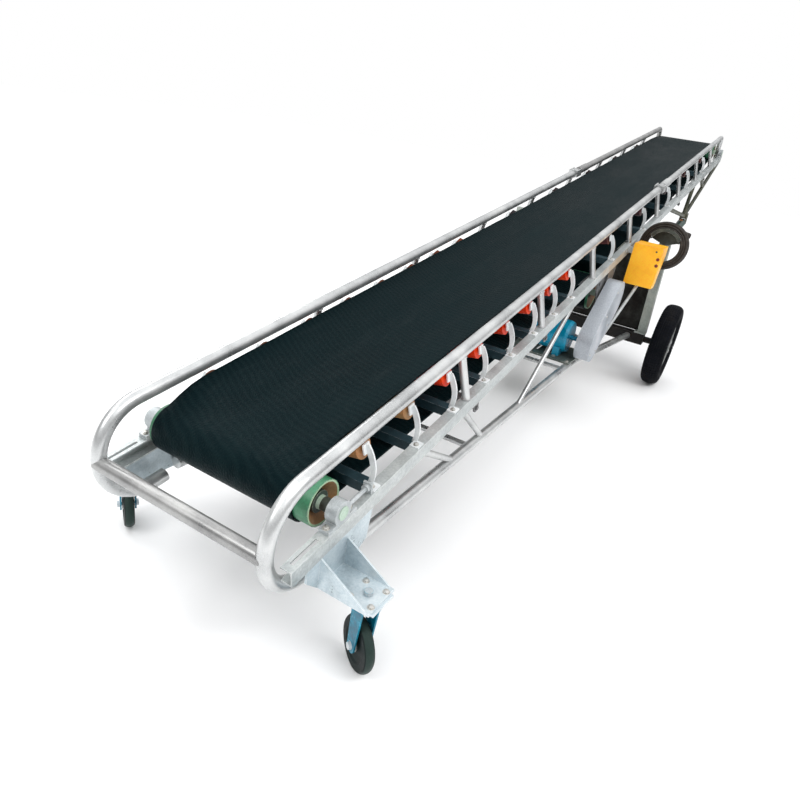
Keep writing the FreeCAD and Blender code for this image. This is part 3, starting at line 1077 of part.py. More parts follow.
def cord_path(points):
    """Straight runs joined by arcs as large as the shorter run beside each point allows."""
    edges, here = [], Vector(*points[0])
    for before, corner, after in zip(points, points[1:], points[2:]):
        back, on = Vector(*before) - Vector(*corner), Vector(*after) - Vector(*corner)
        setback = 0.45 * min(back.Length, on.Length)
        half_turn = (math.pi - back.getAngle(on)) / 2
        radius = setback / math.tan(half_turn)
        print(f"lead bend radius {radius:.1f} mm")
        first, last = Vector(*corner) + back.normalize() * setback, Vector(*corner) + on.normalize() * setback
        inwards = (back + on).normalize()
        middle = Vector(*corner) + inwards * (radius / math.cos(half_turn) - radius)
        edges += [Part.LineSegment(here, first).toShape(), Part.Arc(first, middle, last).toShape()]
        here = last
    edges.append(Part.LineSegment(here, Vector(*points[-1])).toShape())
    return Part.Wire(edges)


lead_path = cord_path(LEAD_POINTS)
section_ring = Part.Wire(Part.makeCircle(size("cable_od") / 2, lead_start, lead_next - lead_start))
lead_shape = lead_path.makePipeShell([section_ring], True, True)
swept = math.pi * size("cable_od") ** 2 / 4 * lead_path.Length
print(f"lead {lead_path.Length:.1f} mm, volume against section times length {lead_shape.Volume / swept:.4f}")
lead = new("Part::Feature", "lead")
lead.Shape = lead_shape
coil_side = block("lead_trim", (coil_face0, LEAD_Y - FAR, COIL_Z - 3 * FAR),
                  (coil_face0 + FAR, LEAD_Y + FAR, COIL_Z))
node("cable_lead", less("lead_end", lead, [coil_side]))

# The plug lies against the far side of the coil, its sleeve meeting the coil's side.
PLUG_OUT, PLUG_TURN, PLUG_LEAN = size("plug_out"), math.radians(size("plug_turn")), math.radians(size("plug_lean"))
plug_start = Vector(coil_face1, COIL_Y + PLUG_OUT * math.cos(PLUG_TURN),
                    COIL_Z + PLUG_OUT * math.sin(PLUG_TURN))
plug_run = Vector(math.sin(PLUG_LEAN), -math.cos(PLUG_LEAN) * math.sin(PLUG_TURN),
                  math.cos(PLUG_LEAN) * math.cos(PLUG_TURN))
plug_r, sleeve, plug_end = size("plug_od") / 2 - 3, size("plug_sleeve"), size("plug_length")
plug_shape = turned("plug", [
    (-10, 0), (-10, 8), (sleeve, 14), (sleeve, plug_r - 5), (sleeve + 6, plug_r), (plug_end - 16, plug_r),
    (plug_end - 16, plug_r + 2), (plug_end, plug_r + 2), (plug_end, 0)], tuple(plug_start), plug_run)
plug_trim = block("plug_trim", (coil_face1 - 2 * FAR, COIL_Y - 5 * FAR, COIL_Z),
                  (coil_face1, COIL_Y + 5 * FAR, COIL_Z + 5 * FAR))
node("cable_plug", less("plug_end", plug_shape, [plug_trim]))

# ---------------------------------------------------------------- checks and export

doc.recompute()
for item in doc.Objects:
    if "Invalid" in item.State or "Error" in item.State:
        raise RuntimeError(f"{item.Name} ({item.Label}) failed: {item.State}")
os.makedirs("parts", exist_ok=True)
whole = FreeCAD.BoundBox()
for label, item in pieces.items():
    shape = item.Shape
    if shape.isNull() or not shape.isValid() or not shape.Solids:
        raise RuntimeError(f"{label} has no valid solid")
    whole.add(shape.BoundBox)
    shape.exportStep(f"parts/{label}.step")
print(f"{len(pieces)} nodes, x {whole.XMin:.1f} {whole.XMax:.1f}, y {whole.YMin:.1f} {whole.YMax:.1f}, "
      f"z {whole.ZMin:.2f} {whole.ZMax:.1f}")
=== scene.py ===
import bmesh
import bpy
import math
from mathutils import Matrix, Vector


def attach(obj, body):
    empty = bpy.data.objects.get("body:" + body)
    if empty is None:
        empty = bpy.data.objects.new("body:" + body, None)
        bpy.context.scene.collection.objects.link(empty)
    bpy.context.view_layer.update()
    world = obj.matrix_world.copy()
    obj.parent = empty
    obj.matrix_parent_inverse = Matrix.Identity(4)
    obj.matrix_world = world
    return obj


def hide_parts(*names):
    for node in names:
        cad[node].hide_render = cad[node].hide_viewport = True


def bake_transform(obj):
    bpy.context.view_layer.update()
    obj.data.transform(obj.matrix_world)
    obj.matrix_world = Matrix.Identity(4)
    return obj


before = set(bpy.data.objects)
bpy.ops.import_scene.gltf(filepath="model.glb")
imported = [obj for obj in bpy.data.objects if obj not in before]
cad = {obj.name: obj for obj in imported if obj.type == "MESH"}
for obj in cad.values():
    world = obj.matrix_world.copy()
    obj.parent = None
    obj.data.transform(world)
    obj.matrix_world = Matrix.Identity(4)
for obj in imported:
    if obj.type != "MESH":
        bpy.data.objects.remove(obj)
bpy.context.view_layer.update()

bpy.ops.object.select_all(action="DESELECT")

# The conveyor stands in a plain white studio. One camera looks up the belt from beyond the tail,
# a little to the right, about a metre and a half above the floor.
camera = bpy.data.objects.new("Camera", bpy.data.cameras.new("Camera"))
bpy.context.scene.collection.objects.link(camera)
camera.data.sensor_width = 36
camera.data.lens = 27.953
camera.data.clip_end = 100
camera.location = (-4.6596, -1.1585, 1.5439)
camera.rotation_euler = [math.radians(a) for a in (65.242, -8.707, -58.815)]
bpy.context.scene.camera = camera
bpy.context.scene.view_settings.view_transform = "Standard"

# The floor is a pale seamless paper sheet. The light is a white dome, bright overhead and dim at the
# horizon as in a tall white hall, with a long soft box on each side and a small one past the tail.
bpy.ops.mesh.primitive_plane_add(size=60, location=(0, 0, -0.001))
floor = bpy.context.object
floor.name = "studio_floor"
floor_paper = bpy.data.materials.new("floor_paper")
floor_paper.use_nodes = True
paper = floor_paper.node_tree.nodes["Principled BSDF"]
paper.inputs["Base Color"].default_value = (0.96, 0.96, 0.96, 1)
paper.inputs["Roughness"].default_value = 0.95
paper.inputs["Specular IOR Level"].default_value = 0.05
floor.data.materials.append(floor_paper)

dome = bpy.data.worlds.new("studio_dome")
dome.use_nodes = True
bpy.context.scene.world = dome
dome_nodes, dome_links = dome.node_tree.nodes, dome.node_tree.links
dome_light = dome_nodes["Background"]
dome_light.inputs["Color"].default_value = (0.985, 0.99, 1.0, 1)
dome_way = dome_nodes.new("ShaderNodeTexCoord")
dome_height = dome_nodes.new("ShaderNodeSeparateXYZ")
dome_level = dome_nodes.new("ShaderNodeMapRange")
dome_level.inputs["From Max"].default_value = 0.9
dome_level.inputs["To Min"].default_value = 0.22
dome_level.inputs["To Max"].default_value = 1.5
dome_links.new(dome_way.outputs["Generated"], dome_height.inputs["Vector"])
dome_links.new(dome_height.outputs["Z"], dome_level.inputs["Value"])
dome_links.new(dome_level.outputs["Result"], dome_light.inputs["Strength"])
dome_seen = dome_nodes.new("ShaderNodeBackground")
dome_seen.inputs["Color"].default_value = (1, 1, 1, 1)
dome_path = dome_nodes.new("ShaderNodeLightPath")
dome_mix = dome_nodes.new("ShaderNodeMixShader")
dome_links.new(dome_path.outputs["Is Camera Ray"], dome_mix.inputs["Fac"])
dome_links.new(dome_light.outputs["Background"], dome_mix.inputs[1])
dome_links.new(dome_seen.outputs["Background"], dome_mix.inputs[2])
dome_links.new(dome_mix.outputs["Shader"], dome_nodes["World Output"].inputs["Surface"])

for name, place, target, width, depth, power in (
    ("side_box", (-3.0, -4.5, 5.5), (0, 0, 0.6), 5.0, 1.4, 150),
    ("long_box", (-1.0, 5.0, 4.5), (0, 0, 1.0), 7.0, 1.2, 150),
    ("tail_box", (-6.5, 1.5, 3.6), (-2.5, 0, 0.8), 2.0, 2.0, 60),
):
    box_light = bpy.data.lights.new(name, "AREA")
    box_light.shape = "RECTANGLE"
    box_light.size, box_light.size_y, box_light.energy = width, depth, power
    lamp = bpy.data.objects.new(name, box_light)
    bpy.context.scene.collection.objects.link(lamp)
    lamp.location = place
    lamp.rotation_euler = (Vector(target) - Vector(place)).to_track_quat("-Z", "Y").to_euler()


# ---------------------------------------------------------------- supply cable
# The supply cable is a tough black rubber lead. It leaves the sloping back of the control box through a
# gland, climbs a little, and is wound by hand into a neat coil that hangs on the saddle on the leg.


def new_material(name):
    """An empty Principled material and its node tree."""
    made = bpy.data.materials.new(name)
    made.use_nodes = True
    return made, made.node_tree, made.node_tree.nodes["Principled BSDF"]


def grain(tree, scale, detail=3, roughness=0.55, stretch=(1, 1, 1), kind="ShaderNodeTexNoise",
          turn=(0, 0, 0)):
    """A noise or cell pattern in the piece's own coordinates, in grains a metre."""
    where = tree.nodes.new("ShaderNodeTexCoord")
    place = tree.nodes.new("ShaderNodeMapping")
    place.inputs["Scale"].default_value = stretch
    place.inputs["Rotation"].default_value = turn
    pattern = tree.nodes.new(kind)
    pattern.inputs["Scale"].default_value = scale
    if "Detail" in pattern.inputs:
        pattern.inputs["Detail"].default_value = detail
    if "Roughness" in pattern.inputs:
        pattern.inputs["Roughness"].default_value = roughness
    tree.links.new(where.outputs["Object"], place.inputs["Vector"])
    tree.links.new(place.outputs["Vector"], pattern.inputs["Vector"])
    return pattern


def ramp(tree, source, stops):
    """A colour ramp of (place, colour) stops over a value."""
    band = tree.nodes.new("ShaderNodeValToRGB")
    while len(band.color_ramp.elements) < len(stops):
        band.color_ramp.elements.new(0.5)
    for stop, (place, colour) in zip(band.color_ramp.elements, stops):
        stop.position = place
        stop.color = (*colour, 1) if len(colour) == 3 else colour
    tree.links.new(source, band.inputs["Fac"])
    return band.outputs["Color"]


def spread(tree, source, low, high, near=0.35, far=0.65):
    """A value carried from the range near..far to low..high."""
    carry = tree.nodes.new("ShaderNodeMapRange")
    carry.inputs["From Min"].default_value = near
    carry.inputs["From Max"].default_value = far
    carry.inputs["To Min"].default_value = low
    carry.inputs["To Max"].default_value = high
    tree.links.new(source, carry.inputs["Value"])
    return carry.outputs["Result"]


def blended(tree, factor, first, second, mode="MIX"):
    """Two colours mixed by a factor; each is a colour or a node's output."""
    mixer = tree.nodes.new("ShaderNodeMix")
    mixer.data_type = "RGBA"
    mixer.blend_type = mode
    for socket, value in ((mixer.inputs[0], factor), (mixer.inputs[6], first), (mixer.inputs[7], second)):
        if isinstance(value, bpy.types.NodeSocket):
            tree.links.new(value, socket)
        elif isinstance(value, (int, float)):
            socket.default_value = value
        else:
            socket.default_value = (*value, 1)
    return mixer.outputs[2]


def relief(tree, shader, heights):
    """Bumps laid one on another: (height output, depth in metres) from coarse to fine."""
    below = None
    for height, depth in heights:
        bump = tree.nodes.new("ShaderNodeBump")
        bump.inputs["Strength"].default_value = 1
        bump.inputs["Distance"].default_value = depth
        tree.links.new(height, bump.inputs["Height"])
        if below is not None:
            tree.links.new(below, bump.inputs["Normal"])
        below = bump.outputs["Normal"]
    tree.links.new(below, shader.inputs["Normal"])


def finish_with(piece, material):
    """Give a piece, or a CAD node by name, one material all over."""
    mesh = (cad[piece] if isinstance(piece, str) else piece).data
    mesh.materials.clear()
    mesh.materials.append(material)


def edge_wear_and_highlight_mask(tree, width):
    """How near the surface is to an outer edge, from 0 to 1, broken up in patches."""
    rounded = tree.nodes.new("ShaderNodeBevel")
    rounded.samples = 3
    rounded.inputs["Radius"].default_value = width
    flat = tree.nodes.new("ShaderNodeNewGeometry")
    lean = tree.nodes.new("ShaderNodeVectorMath")
    lean.operation = "DOT_PRODUCT"
    tree.links.new(rounded.outputs["Normal"], lean.inputs[0])
    tree.links.new(flat.outputs["Normal"], lean.inputs[1])
    edge = spread(tree, lean.outputs["Value"], 1, 0, 0.80, 0.985)
    patches = spread(tree, grain(tree, 34, 4, 0.65).outputs["Fac"], 0, 1, 0.40, 0.56)
    both = tree.nodes.new("ShaderNodeMath")
    both.operation = "MULTIPLY"
    tree.links.new(edge, both.inputs[0])
    tree.links.new(patches, both.inputs[1])
    return both.outputs["Value"]


def from_axis(tree, point, along):
    """Distance in metres from a line through a point."""
    where = tree.nodes.new("ShaderNodeTexCoord")
    shifted = tree.nodes.new("ShaderNodeVectorMath")
    shifted.operation = "SUBTRACT"
    shifted.inputs[1].default_value = point
    tree.links.new(where.outputs["Object"], shifted.inputs[0])
    across = tree.nodes.new("ShaderNodeVectorMath")
    across.operation = "CROSS_PRODUCT"
    across.inputs[1].default_value = Vector(along).normalized()
    tree.links.new(shifted.outputs["Vector"], across.inputs[0])
    length = tree.nodes.new("ShaderNodeVectorMath")
    length.operation = "LENGTH"
    tree.links.new(across.outputs["Vector"], length.inputs[0])
    return length.outputs["Value"]


def coordinate(tree, letter):
    """The X, Y or Z of the surface in metres."""
    where = tree.nodes.new("ShaderNodeTexCoord")
    parts = tree.nodes.new("ShaderNodeSeparateXYZ")
    tree.links.new(where.outputs["Object"], parts.inputs["Vector"])
    return parts.outputs[letter]


def coat(name, tones, rough, metallic=0.0, worn=None, patch=4, fleck=90, fleck_depth=0.0003, edge=0.003,
         shine=0.5, zones=None):
    """A weathered coat: three tones in soft patches, fine flecks, a slightly uneven skin, and edges in a
    colour that is worn metal, but a painted highlight on the castor forks.
    A zone is (source, low, high, colour): the colour is laid where the source is between low and high
    metres, and the source is X, Y or Z, or the distance from a line given as (point, along)."""
    made, tree, shader = new_material(name)
    patches = grain(tree, patch, 5, 0.62)
    flecks = grain(tree, fleck, 3, 0.6)
    shade = ramp(tree, patches.outputs["Fac"], tuple(zip((0.32, 0.5, 0.68), tones)))
    if zones:
        for source, low, high, colour in zones:
            value = from_axis(tree, *source) if isinstance(source, tuple) else coordinate(tree, source)
            step = tree.nodes.new("ShaderNodeMath")
            step.operation = "COMPARE"
            step.inputs[1].default_value = (low + high) / 2
            step.inputs[2].default_value = (high - low) / 2
            tree.links.new(value, step.inputs[0])
            zone_colour = blended(tree, spread(tree, patches.outputs["Fac"], 0, 0.12), colour, shade)
            shade = blended(tree, step.outputs["Value"], shade, zone_colour)
    shade = blended(tree, 0.5, shade, ramp(tree, flecks.outputs["Fac"], (
        (0.3, (0.35, 0.35, 0.35)), (0.5, (0.5, 0.5, 0.5)), (0.7, (0.66, 0.66, 0.66)))), "OVERLAY")
    if worn:
        shade = blended(tree, edge_wear_and_highlight_mask(tree, edge), shade, worn)
    tree.links.new(shade, shader.inputs["Base Color"])
    tree.links.new(spread(tree, patches.outputs["Fac"], *rough), shader.inputs["Roughness"])
    shader.inputs["Metallic"].default_value = metallic
    shader.inputs["Specular IOR Level"].default_value = shine
    relief(tree, shader, ((patches.outputs["Fac"], 0.0004), (flecks.outputs["Fac"], fleck_depth)))
    return made


cable_rubber, tree, shader = new_material("cable_rubber")
dust = grain(tree, 9, 5, 0.65)
scuff = grain(tree, 260, 2, 0.5)
shade = ramp(tree, dust.outputs["Fac"], ((0.32, (0.016, 0.014, 0.012)), (0.55, (0.036, 0.031, 0.027)),
                                         (0.75, (0.100, 0.090, 0.080))))
tree.links.new(shade, shader.inputs["Base Color"])
shader.inputs["Specular IOR Level"].default_value = 0.25
tree.links.new(spread(tree, scuff.outputs["Fac"], 0.42, 0.72), shader.inputs["Roughness"])
relief(tree, shader, ((dust.outputs["Fac"], 0.0008), (scuff.outputs["Fac"], 0.0004)))

# Lengths are measured from the first post, which stands this far from the middle of the conveyor.
REST_X = -2.623732
CABLE_THICK = 0.014
LEAD = [(2.441, -0.447, 0.806), (2.498, -0.447, 0.816), (2.539, -0.447, 0.860), (2.5455, -0.447, 0.9215)]
COIL = Vector((2.574, -0.570, 1.010))
COIL_START, COIL_END = math.radians(-15), math.radians(3710)
COIL_STEPS = 166
COIL_OUT, TURN_APART, ROW_APART = 0.152, 0.0145, 0.017
COIL_IN = COIL_OUT - 3 * TURN_APART


def coil_radius_and_row(turn):
    """The winding lies in three rows, up to four turns deep, going in, out and in again."""
    if turn < 3:
        return COIL_OUT - TURN_APART * turn, -ROW_APART
    if turn < 4:
        return COIL_IN, ROW_APART * (turn - 4)
    if turn < 7:
        return COIL_IN + TURN_APART * (turn - 4), 0
    if turn < 8:
        return COIL_OUT, ROW_APART * (turn - 7)
    return COIL_OUT - TURN_APART * (turn - 8), ROW_APART


route = list(LEAD)
for step in range(COIL_STEPS + 1):
    angle = COIL_START + (COIL_END - COIL_START) * step / COIL_STEPS
    radius, row = coil_radius_and_row((angle - COIL_START) / math.tau)
    if step < COIL_STEPS:
        radius /= math.cos((COIL_END - COIL_START) / COIL_STEPS / 2)
    route.append((COIL.x + row, COIL.y + radius * math.cos(angle), COIL.z + radius * math.sin(angle)))

cable_line = bpy.data.curves.new("supply_cable", "CURVE")
cable_line.dimensions = "3D"
spline = cable_line.splines.new("NURBS")
spline.points.add(len(route) - 1)
for point, (x, y, z) in zip(spline.points, route):
    point.co = (x + REST_X, y, z, 1)
spline.order_u = 3
spline.use_endpoint_u = True
spline.resolution_u = 6
cable_line.bevel_depth = CABLE_THICK / 2
cable_line.bevel_resolution = 4
cable_line.use_fill_caps = True
cable = bpy.data.objects.new("supply_cable", cable_line)
bpy.context.scene.collection.objects.link(cable)
cable_line.materials.append(cable_rubber)

centre_line = cable_line.copy()
centre_line.bevel_depth = 0
line_object = bpy.data.objects.new("cable_measure", centre_line)
bpy.context.scene.collection.objects.link(line_object)
line_mesh = bpy.data.meshes.new_from_object(line_object)
bpy.data.objects.remove(line_object)
bpy.data.meshes.remove(line_mesh)
bpy.data.curves.remove(centre_line)

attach(cable, "frame")
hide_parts("cable_lead", "cable_coil")
finish_with("cable_plug", cable_rubber)
finish_with("cable_gland", cable_rubber)

# ---------------------------------------------------------------- top rails and posts
# The rails are galvanised steel tube, bent round at the tail and more tightly at the nose, and hinged
# where the head lifts. Thinner tube posts are welded to the rails above and to the channels below.
galvanised = coat("galvanised", ((0.42, 0.43, 0.43), (0.55, 0.56, 0.56), (0.69, 0.70, 0.69)), (0.24, 0.40),
                  metallic=0.75, worn=(0.82, 0.83, 0.83), patch=6, fleck=420, fleck_depth=0.00004, edge=0.001)
# The head's left rail and the tail cross tube take a darker copy of the same galvanised coat. The darker copy
# is painted shade: it stands for the darker surroundings that these two tubes reflect.
galvanised_painted_shade = coat("galvanised_painted_shade", ((0.22, 0.22, 0.22), (0.32, 0.32, 0.315), (0.44, 0.44, 0.43)),
                       (0.26, 0.44), metallic=0.75, worn=(0.6, 0.6, 0.6), patch=6, fleck=420,
                       fleck_depth=0.00004, edge=0.001)
for node in ("top_rail_rear_left", "top_rail_rear_right", "top_rail_head_right", "rail_posts_rear",
             "rail_posts_head"):
    finish_with(node, galvanised)
for node in ("top_rail_head_left", "tail_cross_tube"):
    finish_with(node, galvanised_painted_shade)

INCLINE = math.radians(9.65)


def deck(u, v, w):
    """A point given along, across and square to the rails, in metres."""
    return Vector((u * math.cos(INCLINE) - w * math.sin(INCLINE) + REST_X, v,
                   0.785 + u * math.sin(INCLINE) + w * math.cos(INCLINE)))


def lay_out(name, body, shape, places, material):
    """One piece made of copies of a small shape, each set by (place, way its Z points, size)."""
    gathered = bmesh.new()
    for place, along, scale in places:
        part = shape.copy()
        turn = Vector(along).to_track_quat("Z", "Y")
        part.transform(Matrix.LocRotScale(Vector(place), turn, Vector((scale,) * 3)))
        gathered.from_mesh(part)
        bpy.data.meshes.remove(part)
    mesh = bpy.data.meshes.new(name)
    gathered.to_mesh(mesh)
    gathered.free()
    piece = bpy.data.objects.new(name, mesh)
    bpy.context.scene.collection.objects.link(piece)
    finish_with(piece, material)
    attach(piece, body)
    return piece


def take_mesh(smooth=True):
    """The active object's mesh, kept as a pattern, with the object itself gone."""
    piece = bpy.context.object
    if smooth:
        bpy.ops.object.shade_smooth_by_angle(angle=math.radians(35))
    shape = piece.data
    bpy.data.objects.remove(piece)
    bpy.ops.object.select_all(action="DESELECT")
    return shape


# Each post has a bead of weld round its top and its foot. A bead is a narrow, slightly flattened ring.
bpy.ops.mesh.primitive_torus_add(major_radius=1, minor_radius=0.16, major_segments=20, minor_segments=6)
bpy.ops.transform.resize(value=(1, 1, 0.8))
bpy.ops.object.transform_apply(scale=True)
weld_ring = take_mesh()
weld_steel = coat("weld_steel", ((0.42, 0.42, 0.42), (0.58, 0.58, 0.58), (0.70, 0.70, 0.69)), (0.4, 0.6),
                  metallic=0.6, patch=30, fleck=300, fleck_depth=0.0008)
RAIL_V, POST_FOOT_V, POST_FOOT_W = 0.3325, 0.3768, -0.190
BEAD_ROUND, BEAD_UNDER_RAIL, BEAD_OVER_FOOT = 0.017, 0.0235, 0.003
DECK_UP = deck(0, 0, 1) - deck(0, 0, 0)
for body, stations in (("frame", (0, 0.8, 1.6, 2.4, 3.2)), ("boom", (4.0, 4.8, 5.6))):
    beads = []
    for u in stations:
        for side in (1, -1):
            head, foot = deck(u, side * RAIL_V, 0), deck(u, side * POST_FOOT_V, POST_FOOT_W)
            run = (foot - head).normalized()
            beads += [(head + run * BEAD_UNDER_RAIL, run, BEAD_ROUND),
                      (foot - run * BEAD_OVER_FOOT, DECK_UP, BEAD_ROUND)]
    lay_out(f"post_welds_{body}", body, weld_ring, beads, weld_steel)

# ---------------------------------------------------------------- side channels
# Pressed steel channels run under the posts on each side. They are sprayed with a whitish silver paint
# that has gone chalky, with bare metal showing along the flanges.
channel_paint = coat("channel_paint", ((0.32, 0.35, 0.35), (0.44, 0.47, 0.47), (0.57, 0.60, 0.59)),
                     (0.30, 0.48), metallic=0.35, worn=(0.80, 0.80, 0.79), patch=5, fleck=120)
for node in ("side_channel_rear_left", "side_channel_rear_right", "side_channel_head_left",
             "side_channel_head_right"):
    finish_with(node, channel_paint)

# ---------------------------------------------------------------- bolts
# Every fixing is a zinc-plated hexagon bolt on a round washer, and its head is forged with eased edges.
# One is modelled large, and a copy is set at each place at the size that the place needs.


def ease_edges(offset, segments):
    """Round over every edge of the piece in hand."""
    bpy.ops.object.mode_set(mode="EDIT")
    bpy.ops.mesh.select_all(action="SELECT")
    bpy.ops.mesh.bevel(offset=offset, segments=segments)
    bpy.ops.object.mode_set(mode="OBJECT")


bpy.ops.mesh.primitive_cylinder_add(vertices=6, radius=1, depth=0.7, location=(0, 0, 0.55))
ease_edges(0.09, 2)
bolt_top = bpy.context.object
bpy.ops.mesh.primitive_cylinder_add(vertices=20, radius=1.35, depth=0.2, location=(0, 0, 0.1))
bolt_top.select_set(True)
bpy.ops.object.join()
bolt = take_mesh()
bolt_zinc = coat("bolt_zinc", ((0.45, 0.44, 0.40), (0.62, 0.61, 0.58), (0.74, 0.73, 0.70)), (0.25, 0.45),
                 metallic=0.9, worn=(0.85, 0.84, 0.80), patch=60, fleck=500, edge=0.001)

# ---------------------------------------------------------------- cross members and idler brackets
# Angle cross members carry the idlers. Each idler's two outer brackets are flat steel bent up into a
# hook, which stands outside the belt and is bolted down on the channel's top flange.
cross_paint = coat("cross_paint", ((0.012, 0.028, 0.036), (0.022, 0.050, 0.062), (0.060, 0.110, 0.130)),
                   (0.42, 0.65), worn=(0.26, 0.30, 0.32), patch=6, fleck=110, shine=0.2)
bracket_paint = coat("bracket_paint", ((0.64, 0.67, 0.68), (0.77, 0.80, 0.81), (0.86, 0.88, 0.88)),
                     (0.3, 0.5), metallic=0.1, worn=(0.90, 0.90, 0.89), patch=14, fleck=180)
for node in ("cross_members_rear", "cross_members_head"):
    finish_with(node, cross_paint)
for node in ("idler_brackets_rear", "idler_brackets_head"):
    finish_with(node, bracket_paint)
FIRST_IDLER, IDLERS_APART = -0.623, 0.267
IDLERS = {"frame": [FIRST_IDLER + IDLERS_APART * n for n in range(8)] + [2.0, 2.8], "boom": [3.6, 4.4, 5.2]}
FOOT_BACK, FOOT_V, FOOT_TOP = 0.019, 0.3755, -0.184
for body, stations in IDLERS.items():
    lay_out(f"bracket_bolts_{body}", body, bolt,
            [(deck(u - FOOT_BACK, side * FOOT_V, FOOT_TOP), DECK_UP, 0.0075)
             for u in stations for side in (1, -1)], bolt_zinc)

# ---------------------------------------------------------------- idler rollers
# Steel idler rollers turn on fixed shafts, three to a set. They are painted orange-red. The sets by the
# tail and down the left side have gone a rusty tan, and those past the drive are plain dark steel.
roller_paint = coat("roller_paint", ((0.42, 0.016, 0.001), (0.66, 0.032, 0.002), (0.82, 0.070, 0.005)),
                    (0.30, 0.5), worn=(0.42, 0.15, 0.08), patch=12, fleck=160, shine=0.2,
                    zones=(("X", -4.0, -2.86, (0.30, 0.17, 0.07)),
                           ("Y", 0.15, 0.5, (0.15, 0.055, 0.03)),
                           ("X", -0.80, 4.0, (0.022, 0.022, 0.026))))
steel_grey = coat("steel_grey", ((0.10, 0.10, 0.10), (0.17, 0.17, 0.17), (0.26, 0.26, 0.25)), (0.4, 0.6),
                  metallic=0.5, worn=(0.5, 0.5, 0.5), patch=9)
for node in ("idler_rollers_rear", "idler_rollers_head"):
    finish_with(node, roller_paint)
for node in ("return_rollers_rear", "return_rollers_head", "return_hangers_rear", "return_hangers_head"):
    finish_with(node, steel_grey)

# ---------------------------------------------------------------- belt
# The belt is an endless rubber belt with a fine rough top cover, 8 mm thick. It is cut from a roll,
# passed round the tail, head and drive drums, and spliced. The idlers tilt its two edges up.
BELT_THICK, BELT_HALF, MIDDLE_HALF = 0.0078, 0.290, 0.101
TAIL_DRUM, HEAD_DRUM, DRIVE_DRUM = (-0.818, -0.150), (6.262, -0.150), (2.03, -0.440)
END_ROUND, DRIVE_ROUND, SNUB_ROUND = 0.0833, 0.1183, 0.0383
SNUB_AWAY, SNUB_DROP = SNUB_ROUND + DRIVE_ROUND, -0.3183
RETURN_AT_HEAD, RETURN_AT_TAIL = (5.58, -0.280), (0.150, -0.280)


def bend(centre, radius, start, end, steps):
    """Points of the belt's outer face round a drum or roller, in degrees from straight ahead."""
    turns = [math.radians(start + (end - start) * n / steps) for n in range(steps + 1)]
    return [(centre[0] + radius * math.cos(a), centre[1] + radius * math.sin(a)) for a in turns]


def straight(first, last, longest=0.05):
    """Points along a straight run, without its two ends."""
    count = max(2, math.ceil(math.dist(first, last) / longest))
    return [tuple(a + (b - a) * n / count for a, b in zip(first, last)) for n in range(1, count)]


stretches = [
    bend(HEAD_DRUM, END_ROUND, 90, -90, 14), [RETURN_AT_HEAD],
    bend((DRIVE_DRUM[0] + SNUB_AWAY, SNUB_DROP), SNUB_ROUND, 90, 180, 6),
    bend(DRIVE_DRUM, DRIVE_ROUND, 0, -180, 16),
    bend((DRIVE_DRUM[0] - SNUB_AWAY, SNUB_DROP), SNUB_ROUND, 0, 90, 6), [RETURN_AT_TAIL],
    bend(TAIL_DRUM, END_ROUND, -90, -270, 14),
]
loop = []
for here, after in zip(stretches, stretches[1:] + stretches[:1]):
    loop += here + straight(here[-1], after[0])


def held(value):
    """A value kept between 0 and 1."""
    return min(1, max(0, value))


# The belt has wandered to the left by the tail. Its top run leaves the tail drum flat, takes the idlers'
# trough in a short length, lies a little down in it with a slight wave in its edges, and flattens again.
STRIPS = 28
WANDERS_LEFT, WANDERS_FROM = 0.018, 2
TROUGH_TAIL, TROUGH_TAIL_LONG, TROUGH_HEAD, TROUGH_HEAD_LONG = -0.81, 0.17, 6.25, 0.6
TOP_RUN_OVER, SETTLES, WING_LEAN = -0.1, 0.001, math.radians(12)
WAVE_HIGH, WAVES, WING_WIDE = 0.0005, 23.5, 0.19
bpy.ops.mesh.primitive_grid_add(x_subdivisions=len(loop), y_subdivisions=STRIPS, size=2)
belt = bpy.context.object
belt.name = "belt"
for vertex in belt.data.vertices:
    step = round((vertex.co.x + 1) / 2 * len(loop))
    u, w = loop[step % len(loop)]
    across = vertex.co.y * BELT_HALF + WANDERS_LEFT * held((WANDERS_FROM - u) / WANDERS_FROM)
    side = 1 if across > 0 else -1
    if w > TOP_RUN_OVER:
        trough = held((u - TROUGH_TAIL) / TROUGH_TAIL_LONG) * held((TROUGH_HEAD - u) / TROUGH_HEAD_LONG)
        trough *= 2 - trough
        lean = WING_LEAN * trough
        out = max(0, abs(across) - MIDDLE_HALF)
        wave = WAVE_HIGH * math.sin(u * WAVES) * out / WING_WIDE * trough
        across = side * (min(abs(across), MIDDLE_HALF) + out * math.cos(lean))
        w += out * math.sin(lean) + wave - SETTLES * trough
    vertex.co = deck(u, across, w)
bpy.ops.object.mode_set(mode="EDIT")
bpy.ops.mesh.select_all(action="SELECT")
bpy.ops.mesh.remove_doubles(threshold=0.0005)
bpy.ops.mesh.normals_make_consistent(inside=False)
bpy.ops.object.mode_set(mode="OBJECT")
cover = belt.modifiers.new("cover", "SOLIDIFY")
cover.thickness = BELT_THICK
cover.offset = -1
bpy.ops.object.modifier_apply(modifier="cover")
rim = belt.modifiers.new("rim", "BEVEL")
rim.width, rim.segments, rim.limit_method, rim.angle_limit = 0.0014, 2, "ANGLE", math.radians(50)
bpy.ops.object.modifier_apply(modifier="rim")
bpy.ops.object.shade_smooth_by_angle(angle=math.radians(50))

